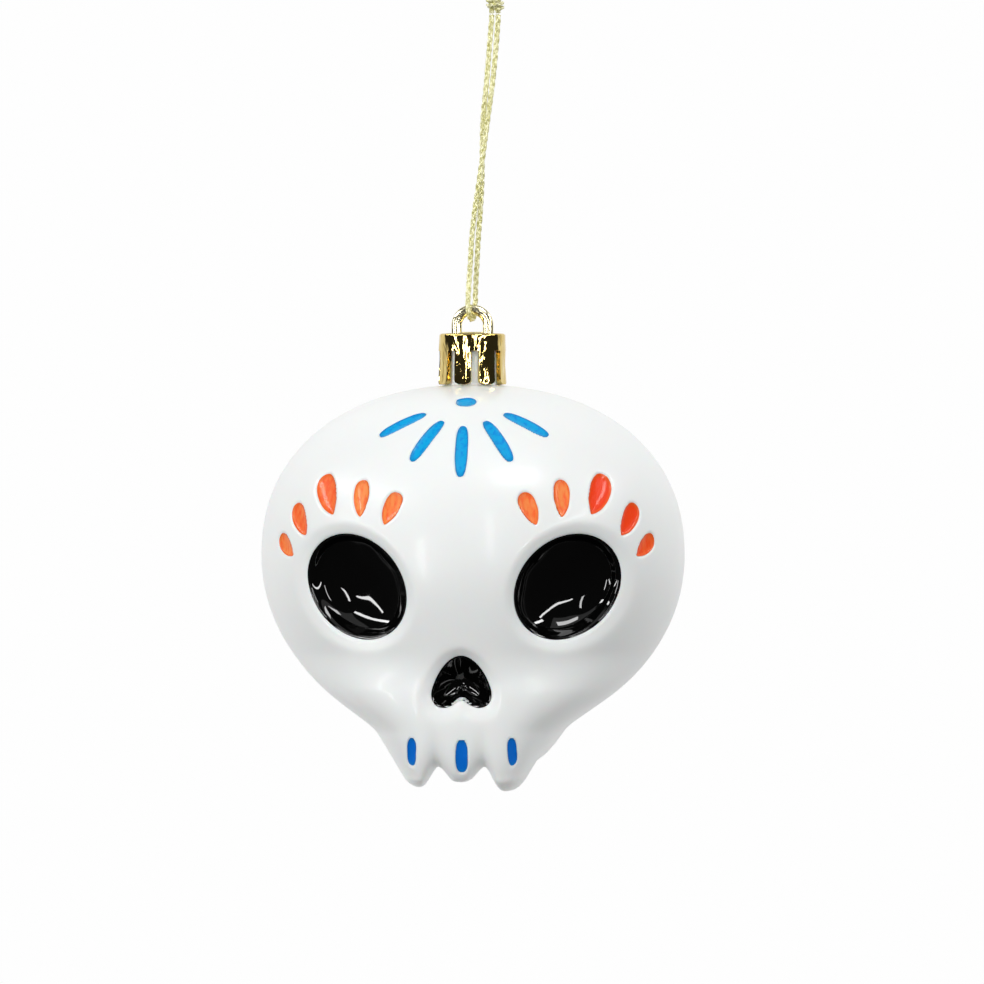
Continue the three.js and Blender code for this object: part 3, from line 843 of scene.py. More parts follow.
@dataclass(frozen=True)
class BrushedEnamel:
    """Acrylic enamel laid in a trough by brush.

    To the eye it is satin with soft glints and streaky where it is thin. Its edge is painted
    darker, as painted shade where the trough's rim shades it. The strokes are drawn a little
    coarser than bristles, so that they show.
    """

    name: str
    deep_colour: str
    # The edge tint is painted shade, laid round each pad's rim.
    edge_colour: str
    thin_colour: str
    roughness: float = 0.34
    specular: float = 0.12
    coat: float = 0.2
    coat_roughness: float = 0.06
    stroke_size: float = 0.7
    stroke_stretch: float = 0.35
    stroke_height: float = 0.14
    stroke_strength: float = 0.8
    stroke_span: tuple[float, float] = (0.35, 0.65)
    edge_from: float = 0.78
    edge_strength: float = 0.8

    def material(self) -> bpy.types.Material:
        """Builds the finish: each pad's thinness and the brush's streaks pick between two tints.

        The thin tint's share is thinness * (1 + streak), the streak running from -1/2 to 1/2.

        Returns:
            The material.
        """
        material, tree, places = new_material(self.name)
        along = add_node(tree, "Mapping", {
            "Vector": places, "Scale": (1.0, 1.0, self.stroke_stretch)})
        strokes = add_node(tree, "TexNoise", {
            "Vector": along.outputs["Vector"], "Scale": 1 / (self.stroke_size * MM), "Detail": 3.0})
        streaks = add_node(tree, "MapRange", {
            "Value": strokes.outputs["Fac"], "From Min": self.stroke_span[0],
            "From Max": self.stroke_span[1], "To Min": -0.5, "To Max": 0.5})
        thin = add_node(tree, "Attribute", attribute_name="thinness").outputs["Fac"]
        swing = add_node(tree, "Math", {0: streaks.outputs["Result"], 1: thin, 2: thin},
                         operation="MULTIPLY_ADD", use_clamp=True)
        tint = add_node(tree, "Mix", {
            "Factor": swing.outputs["Value"], "A": linear(self.deep_colour),
            "B": linear(self.thin_colour)}, data_type="RGBA")
        # Painted shade: towards each pad's edge the tint is mixed into the darker edge tint, for
        # the shade at the trough's rim.
        share = add_node(tree, "Attribute", attribute_name="edge_share")
        rim = add_node(tree, "MapRange", {
            "Value": share.outputs["Fac"], "From Min": self.edge_from, "From Max": 1.0,
            "To Max": self.edge_strength})
        edge_shaded = add_node(tree, "Mix", {
            "Factor": rim.outputs["Result"], "A": tint.outputs["Result"],
            "B": linear(self.edge_colour)}, data_type="RGBA")
        bump = add_node(tree, "Bump", {
            "Height": strokes.outputs["Fac"], "Strength": self.stroke_strength,
            "Distance": self.stroke_height * MM})
        close_material(tree, {
            "Base Color": edge_shaded.outputs["Result"], "Roughness": self.roughness,
            "Specular IOR Level": self.specular, "Coat Weight": self.coat,
            "Coat Roughness": self.coat_roughness, "Normal": bump.outputs["Normal"]})
        return material


@dataclass(frozen=True)
class MetallisedGold:
    """Vacuum metallised ABS under a gold tinted lacquer.

    To the eye it is a mirror whose shallow sink marks break reflections up on its upright walls,
    while its roof is nearly flat.
    """

    name: str = "metallised_gold"
    colour: str = "#e2cf8c"
    deep_colour: str = "#c9a850"
    roughness: float = 0.06
    sink_size: float = 0.9
    sink_stretch: float = 0.45
    sink_height: float = 0.2
    wall_strength: float = 0.5
    roof_strength: float = 0.06
    level_span: tuple[float, float] = (0.5, 0.9)

    def material(self) -> bpy.types.Material:
        """Builds the finish, deeper in colour where the tinted lacquer pools.

        Returns:
            The material.
        """
        material, tree, places = new_material(self.name)
        pools = add_node(tree, "TexNoise", {
            "Vector": places, "Scale": 1 / (2 * self.sink_size * MM)})
        tint = add_node(tree, "Mix", {
            "Factor": pools.outputs["Fac"], "A": linear(self.colour),
            "B": linear(self.deep_colour)}, data_type="RGBA")
        upright = add_node(tree, "Mapping", {
            "Vector": places, "Scale": (1.0, 1.0, self.sink_stretch)})
        sinks = add_node(tree, "TexNoise", {
            "Vector": upright.outputs["Vector"], "Scale": 1 / (self.sink_size * MM), "Detail": 2.0})
        facing = add_node(tree, "TexCoord").outputs["Normal"]
        height = add_node(tree, "SeparateXYZ", {"Vector": facing}).outputs["Z"]
        level = add_node(tree, "Math", {0: height}, operation="ABSOLUTE").outputs["Value"]
        strength = add_node(tree, "MapRange", {
            "Value": level, "From Min": self.level_span[0], "From Max": self.level_span[1],
            "To Min": self.wall_strength, "To Max": self.roof_strength})
        bump = add_node(tree, "Bump", {
            "Height": sinks.outputs["Fac"], "Strength": strength.outputs["Result"],
            "Distance": self.sink_height * MM})
        close_material(tree, {
            "Base Color": tint.outputs["Result"], "Metallic": 1.0, "Roughness": self.roughness,
            "Normal": bump.outputs["Normal"]})
        return material


@dataclass(frozen=True)
class LurexYarn:
    """Lurex: slit metallised film wound on a thread, so that to the eye it sparkles in fine turns.

    The film lets much of the pale thread through, so it is only partly metallic.
    """

    colour: str = "#fffcd2"
    # The dark tint and the pale one are mixed in a mottle of painted sparkle.
    dark_colour: str = "#cdc978"
    metallic: float = 0.2
    roughness: float = 0.3
    turns: float = 260.0
    turn_waver: float = 0.4
    turn_height: float = 0.03
    turn_strength: float = 0.6
    sparkle_size: float = 0.5
    sparkle_span: tuple[float, float] = (0.35, 0.6)

    def material(self) -> bpy.types.Material:
        """Builds the finish; the film's turns follow the yarn's own map, along and round it.

        Returns:
            The material.
        """
        material, tree, places = new_material("lurex_yarn")
        own = add_node(tree, "TexCoord").outputs["UV"]
        slanted = add_node(tree, "Mapping", {"Vector": own, "Scale": (1.0, self.turns, 1.0)})
        film = add_node(tree, "TexWave", {
            "Vector": slanted.outputs["Vector"], "Scale": 1.0, "Distortion": self.turn_waver},
            bands_direction="Y")
        # Painted sparkle: a fine noise mottle between the dark and the pale tint stands in for the
        # glints of the metallised film.
        sparkle = add_node(tree, "TexNoise", {
            "Vector": places, "Scale": 1 / (self.sparkle_size * MM), "Detail": 2.0})
        painted_sparkle = add_node(tree, "MapRange", {
            "Value": sparkle.outputs["Fac"], "From Min": self.sparkle_span[0],
            "From Max": self.sparkle_span[1]})
        tint = add_node(tree, "Mix", {
            "Factor": painted_sparkle.outputs["Result"], "A": linear(self.dark_colour),
            "B": linear(self.colour)}, data_type="RGBA")
        bump = add_node(tree, "Bump", {
            "Height": film.outputs["Fac"], "Strength": self.turn_strength,
            "Distance": self.turn_height * MM})
        close_material(tree, {
            "Base Color": tint.outputs["Result"], "Metallic": self.metallic,
            "Roughness": self.roughness, "Normal": bump.outputs["Normal"]})
        return material


def dress(piece: bpy.types.Object, body: Body, slot: str, *nodes: str) -> bpy.types.Object:
    """Lets a finished piece ride on its body and stand for its nodes.

    Args:
        piece: the finished object.
        body: the body it moves with.
        slot: the record's material slot; not used.
        nodes: the nodes that it is shown in place of.

    Returns:
        The same object.
    """
    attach(piece, body.value)
    if nodes:
        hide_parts(*nodes)
    LOG.info("%s: %d points, on %s", piece.name, len(piece.data.vertices), body.value)
    return piece


@dataclass
class Skull:
    """The moulded skull with its neck, the black coats and the enamel marks."""

    form: SkullForm = field(default_factory=SkullForm)
    eye_place: tuple[float, float] = (20.25, -5.8)
    eye_half_length: float = 11.0
    eye_half_width: float = 8.9
    eye_turn: float = math.radians(48)
    eye_depth: float = 4.9
    eye_wall: float = 1.5
    nose_place: float = -23.8
    nose_half_width: float = 5.75
    nose_half_height: float = 4.95
    nose_depth: float = 3.8
    nose_steps: int = 20
    neck_forward: float = 1.4
    neck_radius: float = 5.1
    neck_wall: float = 1.0
    neck_top: float = 40.6
    neck_fillet: float = 0.5
    rim_share: float = 0.25
    columns: int = 340
    face_columns: int = 262
    face_turn: float = math.radians(72)
    bands: tuple[tuple[float, float, int], ...] = (
        (24, 76, 84), (76, 122, 78), (122, 157, 72), (157, 180, 10))
    crown_rows: int = 12
    bore_rows: int = 3
    cavity_rows: int = 16
    fillet_rows: int = 4
    outline_points: int = 144
    bowl_reach: float = 2.2
    mark_margin: float = 2.0
    hollow_blend: tuple[float, float] = (-1.0, 5.0)
    petal_shares: tuple[tuple[float, ...], ...] = (
        (0.808, 0.006, 0.878, 0.115, 0.62),
        (0.74, 0.124, 0.8, 0.3, 0.58),
        (0.606, 0.245, 0.658, 0.47, 0.58),
        (0.472, 0.229, 0.4625, 0.443, 0.52),
        (0.355, 0.186, 0.29, 0.368, 0.6))
    petal_thinness: dict[Side, tuple[float, ...]] = field(default_factory=lambda: {
        Side.LEFT: (0.75, 0.55, 0.42, 1.0, 0.7), Side.RIGHT: (0.25, 0.03, 0.0, 0.72, 0.66)})
    ray_shares: tuple[tuple[float, ...], ...] = (
        (0.185, 0.827, 0.394, 0.697, 0.27),
        (0.1, 0.784, 0.2325, 0.551, 0.215))
    middle_ray_shares: tuple[float, ...] = (0.0, 0.755, 0.0, 0.461, 0.19)
    dot_shares: tuple[float, ...] = (0.0, 0.921, 0.0, 0.869, 0.95)
    tooth_shares: tuple[float, ...] = (0.232, -0.865, 0.238, -0.99, 0.36)
    middle_tooth_shares: tuple[float, ...] = (0.0, -0.8715, 0.0, -1.023, 0.36)
    nose_outline_shares: tuple[tuple[float, float], ...] = (
        (0, 1), (0.33, 0.87), (0.62, 0.55), (0.86, 0.08), (1, -0.45),
        (0.9, -0.85), (0.6, -1), (0.3, -0.9), (0, -0.7))
    petal_point: float = 0.3
    petal_square: float = 0.92
    ray_square: float = 0.72
    origin: Array = field(init=False)

    def __post_init__(self) -> None:
        """Puts the skull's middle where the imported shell's box says it is."""
        low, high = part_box("skull_shell")
        middle = (np.array(low) + np.array(high)) / (2 * MM)
        self.origin = np.array([middle[0], middle[1], high[2] / MM - self.neck_top])

    def eye_outline(self, side: Side) -> Array:
        """An ellipse turned by the eye's turn, mirrored on the left.

        Args:
            side: the eye's side.

        Returns:
            The closed outline, as x and z seen from the front.
        """
        turn = np.arange(self.outline_points) * (2 * math.pi / self.outline_points)
        along, over = self.eye_half_length * np.cos(turn), self.eye_half_width * np.sin(turn)
        cos, sin = math.cos(self.eye_turn), math.sin(self.eye_turn)
        x = self.eye_place[0] + along * cos - over * sin
        z = self.eye_place[1] + along * sin + over * cos
        return np.stack([side.value * x, z], -1)

    def nose_outline(self) -> Array:
        """A closed smooth curve through the nose's shares and their mirror.

        Returns:
            The closed outline, as x and z seen from the front.
        """
        half = np.array(self.nose_outline_shares) * [self.nose_half_width, self.nose_half_height]
        half[:, 1] += self.nose_place
        loop = np.concatenate([half, half[-2:0:-1] * [-1, 1]])
        wrapped = np.concatenate([loop[-3:], loop, loop[:4]])
        flat = np.stack([wrapped[:, 0], wrapped[:, 1], np.zeros(len(wrapped))], -1)
        curve = curve_through(flat, self.nose_half_width / self.nose_steps)[:, :2]
        from_top = np.linalg.norm(curve - loop[0], axis=1)
        half_way = len(curve) // 2
        last = half_way + int(np.argmin(from_top[half_way:]))
        return curve[int(np.argmin(from_top[:half_way])):last]

    def bowls(self) -> list[Bowl]:
        """Sets out the bowls.

        Returns:
            The two sockets and the nose.
        """
        eyes = [Bowl(self.form, f"eye_enamel_{side.word}", self.eye_outline(side),
                     self.eye_depth, wall=self.eye_wall) for side in Side]
        nose = Bowl(self.form, "nose_enamel", self.nose_outline(), self.nose_depth, ripple=0.12,
                    ripple_length=5.0, seed=4758, rounding=0.9, squareness=2.2)
        return [*eyes, nose]

    def mark(self, name: str, shares: tuple[float, ...], side: Side, point: float,
             square: float) -> Mark:
        """Sets out one mark.

        Args:
            name: the frame's name for it.
            shares: x and z of both ends, as shares of the half width and of the crown's or the
                base's height, and its width as a share of its length.
            side: the side that it is on.
            point: how pointed its far end is.
            square: how square its ends are.

        Returns:
            The mark.
        """
        near_x, near_z, far_x, far_z, width_share = shares
        height = self.form.crown_rise if near_z > 0 else self.form.base_drop
        wide = self.form.half_width * side.value
        near, far = (near_x * wide, near_z * height), (far_x * wide, far_z * height)
        return Mark(self.form, name, near, far, width_share, point, square)

    def petals(self) -> list[Mark]:
        """Sets out the petals.

        Returns:
            Five over each eye, from the outermost in.
        """
        return [self.mark(f"petal_enamel_{side.word}_{index}", shares, side,
                          self.petal_point, self.petal_square)
                for side in Side for index, shares in enumerate(self.petal_shares, 1)]

    def rays(self) -> list[Mark]:
        """Sets out the blue marks, none of them pointed.

        Returns:
            The rays, the dot over them and the three tooth marks.
        """
        middle = [("ray_enamel_middle", self.middle_ray_shares, self.ray_square),
                  ("dot_enamel", self.dot_shares, 1.0),
                  ("tooth_enamel_middle", self.middle_tooth_shares, self.ray_square)]
        marks = []
        for side in Side:
            pair = [(f"ray_enamel_{side.word}_{index}", shares)
                    for index, shares in enumerate(self.ray_shares, 1)]
            pair.append((f"tooth_enamel_{side.word}", self.tooth_shares))
            marks += [self.mark(name, shares, side, 0.0, self.ray_square) for name, shares in pair]
        return marks + [self.mark(name, shares, Side.RIGHT, 0.0, square)
                        for name, shares, square in middle]

    def directions(self, polars: Array) -> Array:
        """Unit directions by polar angle and column, most of the columns on the face.

        Args:
            polars: angles from straight up, in radians.

        Returns:
            A row of directions for each polar angle.
        """
        face = np.linspace(-self.face_turn, self.face_turn, self.face_columns)
        behind = np.linspace(self.face_turn, 2 * math.pi - self.face_turn,
                             self.columns - self.face_columns + 2)
        azimuth = np.concatenate([face, behind[1:-1]])
        polar = polars[:, None]
        return np.stack([np.sin(polar) * np.sin(azimuth), -np.sin(polar) * np.cos(azimuth),
                         np.cos(polar) * np.ones_like(azimuth)], -1)

    def neck_rings(self, radii: Array, heights: Array) -> Array:
        """Rings round the neck's axis, with the columns of the skin.

        Args:
            radii: each ring's radius.
            heights: each ring's height.

        Returns:
            A row of points for each ring.
        """
        round_axis = self.directions(np.array([math.pi / 2]))[0]
        axis = np.stack([0 * heights, 0 * heights - self.neck_forward, heights], -1)
        return round_axis * radii[:, None, None] + axis[:, None]

    def crown_directions(self, radius: float, first_polar: float, rows: int) -> Array:
        """Directions that turn from a circle round the neck into the first polar ring.

        Args:
            radius: the circle's radius.
            first_polar: the polar ring's angle, in radians.
            rows: how many rows there are before that ring.

        Returns:
            The rows of directions.
        """
        crown = np.array([self.form.crown_rise])
        start = unit(self.neck_rings(np.array([radius]), crown)[0])
        end = self.directions(np.array([first_polar]))[0]
        share = np.linspace(0, 1, rows, endpoint=False)[:, None, None]
        return unit(start * (1 - share) + end * share)

    def skin_rings(self, directions: Array, bowls: list[Bowl], marks: list[Mark]) -> Array:
        """The dressed outer skin: the plain form, its bowls with their lips, and its troughs.

        Args:
            directions: rows of unit directions from the skull's middle.
            bowls: the sockets and the nose.
            marks: the enamel marks, each in a trough.

        Returns:
            The rows of points.
        """
        plain = self.form.skin(directions)
        points = plain.reshape(-1, 3)
        inward = unit(points)
        moved = np.zeros_like(points)
        on_face = points[:, 1] < 0
        reach = self.bowl_reach * self.eye_half_length
        for bowl in bowls:
            near = on_face & (np.linalg.norm(points - bowl.middle, axis=1) < reach)
            outside = bowl.outside(points[near])
            moved[near] -= inward[near] * bowl.flare_sink(outside)[:, None]
            moved[near] += bowl.inward * bowl.shell_fall(outside)[:, None]
        for mark in marks:
            reach = mark.half_length + self.mark_margin
            near = np.linalg.norm(points - mark.middle, axis=1) < reach
            moved[near] -= inward[near] * mark.shell_sink(mark.outside(points[near]))[:, None]
        return (points + moved).reshape(plain.shape)

    def cavity_rings(self, directions: Array, bowls: list[Bowl]) -> Array:
        """The inside: the plain form less the wall, drawn back softly behind each bowl.

        Args:
            directions: rows of unit directions from the skull's middle.
            bowls: the sockets and the nose.

        Returns:
            The rows of points.
        """
        plain = self.form.skin(directions)
        points = plain.reshape(-1, 3)
        sink = np.full(len(points), self.form.wall)
        near = points[:, 1] < 0
        for bowl in bowls:
            clear = 1 - smooth(*self.hollow_blend, bowl.outside(points[near]))
            back = (bowl.depth + bowl.wall + 2 * self.form.wall) * clear
            sink[near] = np.maximum(sink[near], back)
        return (points - unit(points) * sink[:, None]).reshape(plain.shape)

    def shell(self, bowls: list[Bowl], marks: list[Mark]) -> Surface:
        """The whole shell: down the skin, then back up through the hollow and the bore.

        Args:
            bowls: the sockets and the nose.
            marks: the enamel marks.

        Returns:
            The closed shell, about the skull's middle.
        """
        polars = np.radians(np.concatenate(
            [np.linspace(a, b, rows, endpoint=False) for a, b, rows in self.bands]))
        wide = self.neck_radius + self.neck_fillet
        crown = self.crown_directions(wide, polars[0], self.crown_rows)
        outer = self.skin_rings(np.concatenate([crown, self.directions(polars)]), bowls, marks)
        root = float(outer[0, :, 2].mean())
        turn = np.linspace(math.pi / 2, 0, self.fillet_rows, endpoint=False)
        fillet = self.neck_rings(wide - self.neck_fillet * np.cos(turn),
                                 root + self.neck_fillet * (1 - np.sin(turn)))[::-1]
        bore = self.neck_radius - self.neck_wall
        edge = self.neck_wall * self.rim_share
        rim = self.neck_rings(
            np.array([bore, bore, bore + edge, self.neck_radius - edge, self.neck_radius]),
            np.array([self.form.crown_rise - 2 * self.form.wall, self.neck_top - edge,
                      self.neck_top, self.neck_top, self.neck_top - edge]))
        inner_polars = np.radians(np.linspace(
            self.bands[0][0], self.bands[-1][1], self.cavity_rows, endpoint=False))
        inner_crown = self.crown_directions(bore, inner_polars[0], self.bore_rows)
        inner = self.cavity_rings(
            np.concatenate([inner_crown, self.directions(inner_polars)]), bowls)
        bottom = self.form.skin(np.array([[0.0, 0.0, -1.0]]))[0]
        rings = np.concatenate([inner[::-1], rim, fillet, outer])
        return Surface.rings(rings, bottom + [0, 0, self.form.wall], bottom).outward()

    def build(self) -> None:
        """Makes the shell, the coats and the marks, and dresses them."""
        bowls, petals, rays = self.bowls(), self.petals(), self.rays()
        shell = self.shell(bowls, petals + rays).moved(self.origin)
        dress(shell.build("skull_skin", LacqueredStyrene().material(), sharp=60), Body.SKULL,
              "shell_white", "skull_shell")
        black = BlackLacquer().material()
        for bowl in bowls:
            coat = bowl.coat_surface().moved(self.origin)
            dress(coat.build(f"{bowl.name}_coat", black, sharp=80), Body.SKULL,
                  "socket_black", bowl.name)
        orange = BrushedEnamel("orange_enamel", "#f83c00", "#e8641c", "#fb9048").material()
        blue = BrushedEnamel("blue_enamel", "#006cd3", "#0276b8", "#02a4df").material()
        thinness = [thin for side in Side for thin in self.petal_thinness[side]]
        thinness += [0.0 if mark.name.startswith("tooth") else 1.0 for mark in rays]
        for mark, thin in zip(petals + rays, thinness):
            enamel, slot = (orange, "enamel_orange") if mark in petals else (blue, "enamel_blue")
            surface, shares = mark.pad()
            values = {"edge_share": shares, "thinness": np.full(len(shares), thin)}
            pad = surface.moved(self.origin)
            dress(pad.build(f"{mark.name}_pad", enamel, sharp=60, values=values), Body.SKULL,
                  slot, mark.name)


@dataclass
class CrownCap:
    """The moulded crown cap: a cup with eight spring tabs, and the ring on its roof."""

    height: float = 9.6
    top_radius: float = 6.27
    foot_radius: float = 6.65
    bead: float = 0.12
    bead_height: float = 0.7
    wall: float = 0.87
    edge_radius: float = 0.45
    edge_bevel: float = 0.12
    slots: int = 8
    slot_width: float = 1.7
    slot_height: float = 6.3
    slot_foot_radius: float = 0.9
    slot_turn: float = math.radians(9)
    flatness: float = 0.55
    flat_below: float = 0.2
    tab_columns: int = 28
    slot_columns: int = 4
    tab_rows: int = 22
    band_rows: int = 10
    edge_rows: int = 5
    roof_shares: tuple[float, ...] = (0.86, 0.67, 0.48, 0.29, 0.1)
    sink_depth: float = 0.04
    sink_length: float = 1.7
    sink_stretch: float = 0.4
    sink_seed: int = 5
    ring_half_width: float = 3.97
    ring_rise: float = 5.5
    ring_bar: float = 2.0
    ring_thickness: float = 1.5
    ring_squareness: float = 2.1
    ring_sides: int = 36
    arch_rows: int = 41
    leg_rows: int = 5
    sill_rise: float = 0.35
    sill_inset: float = 0.1
    sill_squareness: float = 2.4
    sill_sides: int = 20
    sill_rows: int = 9
    origin: Array = field(init=False)

    def __post_init__(self) -> None:
        """Puts the roof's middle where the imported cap's box says it is."""
        low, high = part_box("crown_cap")
        middle = (np.array(low) + np.array(high)) / (2 * MM)
        self.origin = np.array([middle[0], middle[1], high[2] / MM - self.ring_rise])

    def radius_at(self, height: Array) -> Array:
        """Radius of the cup: a straight flare with a bead at the foot.

        The bead is bead * exp(-((height over the foot) / bead_height)^2).

        Args:
            height: heights over the roof, so negative.

        Returns:
            The radius at each height.
        """
        flare = self.foot_radius - self.bead - self.top_radius
        bead = self.bead * np.exp(-(((height + self.height) / self.bead_height) ** 2))
        return self.top_radius - flare * height / self.height + bead

    def slot_half_width(self, height: Array) -> Array:
        """Half the slot's width: straight, and rounded open at the foot by a quarter circle.

        Args:
            height: heights over the roof, so negative.

        Returns:
            Half the width at each height.
        """
        foot = self.slot_foot_radius
        above = np.clip(foot - (height + self.height), 0, foot)
        return self.slot_width / 2 + foot - np.sqrt(foot ** 2 - above ** 2)

    def cup_rings(self) -> Array:
        """The cup's outer face by row and column: the tabs, the band over them and the roof.

        Each row runs round the cap. Its columns crowd into the tabs, whose edges follow the
        slots, and each tab is drawn part of the way to a flat facet.

        Returns:
            The rows of points, from the foot up.
        """
        slot_top = self.slot_height - self.height
        tabs = np.linspace(-self.height, slot_top, self.tab_rows)
        band = np.linspace(slot_top, -self.edge_radius, self.band_rows)[1:]
        turn = np.linspace(0, math.pi / 2, self.edge_rows + 1)[1:]
        edge = self.edge_radius * (np.sin(turn) - 1)
        heights = np.concatenate([tabs, band, edge, 0 * np.array(self.roof_shares)])
        shrink = np.concatenate([
            np.ones(len(tabs) + len(band)),
            1 - self.edge_radius * (1 - np.cos(turn)) / self.top_radius, self.roof_shares])
        radius = self.radius_at(heights) * shrink
        half_slot = self.slot_half_width(heights) / radius.clip(self.slot_width)
        half_slot[-len(self.roof_shares):] = self.slot_width / 2 / self.top_radius
        half_slot = half_slot[:, None]
        step = 2 * math.pi / self.slots
        slot_share = np.linspace(-1, 1, self.slot_columns, endpoint=False)
        tab_share = np.linspace(0, 1, self.tab_columns, endpoint=False)
        sector = np.concatenate(
            [half_slot * slot_share, half_slot + (step - 2 * half_slot) * tab_share], 1)
        angle = sector[:, None] + step * np.arange(self.slots)[None, :, None]
        angle = angle.reshape(len(heights), -1)
        from_middle = np.abs((angle / step) % 1 - 0.5) * step
        facet = np.cos(step / 2) / np.cos(np.minimum(from_middle, step / 2))
        draw = self.flatness * smooth(-self.flat_below, -self.height / 2, heights)[:, None]
        reach = radius[:, None] * (1 - draw + draw * facet)
        angle = angle + self.slot_turn
        rings = np.stack([reach * np.sin(angle), -reach * np.cos(angle),
                          np.broadcast_to(heights[:, None], angle.shape)], -1)
        outward = rings * [1, 1, 0] / self.top_radius
        uneven = waves(rings * [1, 1, self.sink_stretch], self.sink_length, self.sink_seed)
        return rings + outward * (self.sink_depth * uneven)[..., None]

    def cup(self) -> Surface:
        """The cup's outer face as one sheet, cut open along the slots.

        Returns:
            The sheet, about the roof's middle.
        """
        surface = Surface.rings(self.cup_rings(), None, np.array([0.0, 0.0, 0.0]))
        sector = self.slot_columns + self.tab_columns
        quads, ends = surface.faces
        column, row = quads[:, 0] % (self.slots * sector), quads[:, 0] // (self.slots * sector)
        keep = (column % sector >= self.slot_columns) | (row >= self.tab_rows - 1)
        quads, surface.corners[0] = quads[keep], surface.corners[0][keep]
        used, renumbered = np.unique(
            np.concatenate([quads.ravel(), ends.ravel()]), return_inverse=True)
        surface.points = surface.points[used]
        surface.faces = [renumbered.ravel()[:quads.size].reshape(-1, 4),
                         renumbered.ravel()[quads.size:].reshape(-1, 3)]
        return surface

    def ring(self) -> Surface:
        """The ring: a rounded bar carried up, over a half circle and down, with a low sill.

        Returns:
            The ring, about the roof's middle.
        """
        front = np.array([0.0, 1.0, 0.0])
        radius = self.ring_half_width - self.ring_bar / 2
        arch = self.ring_rise - self.ring_half_width
        turn = np.linspace(math.pi, 0, self.arch_rows)
        legs = np.linspace(-self.wall / 2, arch, self.leg_rows, endpoint=False)
        up = np.stack([0 * legs - radius, 0 * legs, legs], -1)
        over = np.stack([radius * np.cos(turn), 0 * turn, arch + radius * np.sin(turn)], -1)
        path = np.concatenate([up, over, up[::-1] * [-1, 1, 1]])
        bar = rounded(self.ring_thickness / 2, self.ring_bar / 2, self.ring_squareness,
                      self.ring_sides)
        level = np.linspace(-radius, radius, self.sill_rows)
        sill_path = np.stack([level, 0 * level, 0 * level], -1)
        sill = rounded(self.ring_thickness / 2 - self.sill_inset, self.sill_rise,
                       self.sill_squareness, self.sill_sides)
        return Surface.joined([swept(path, bar, front), swept(sill_path, sill, front)])

    def build(self) -> None:
        """Makes the cup and the ring, and dresses them."""
        gold = MetallisedGold().material()
        cup = self.cup().moved(self.origin).build("cap_cup", gold, sharp=60)
        wall = cup.modifiers.new("wall", "SOLIDIFY")
        wall.thickness = self.wall * MM
        wall.offset = -1.0
        edge = cup.modifiers.new("edge", "BEVEL")
        edge.width = self.edge_bevel * MM
        edge.segments = 2
        edge.limit_method = "ANGLE"
        edge.angle_limit = math.radians(50)
        edge.harden_normals = True
        dress(cup, Body.CAP, "cap_gold", "crown_cap")
        # Painted reflection: the ring is the cap's own gold, tinted nearly white to stand in for
        # the white softbox that it mirrors.
        pale = MetallisedGold("pale_gold", "#fff8dc", "#ebe0a8", roughness=0.2, sink_height=0.11)
        ring = self.ring().moved(self.origin).build("cap_ring", pale.material(), sharp=70)
        dress(ring, Body.CAP, "cap_gold", "crown_cap")


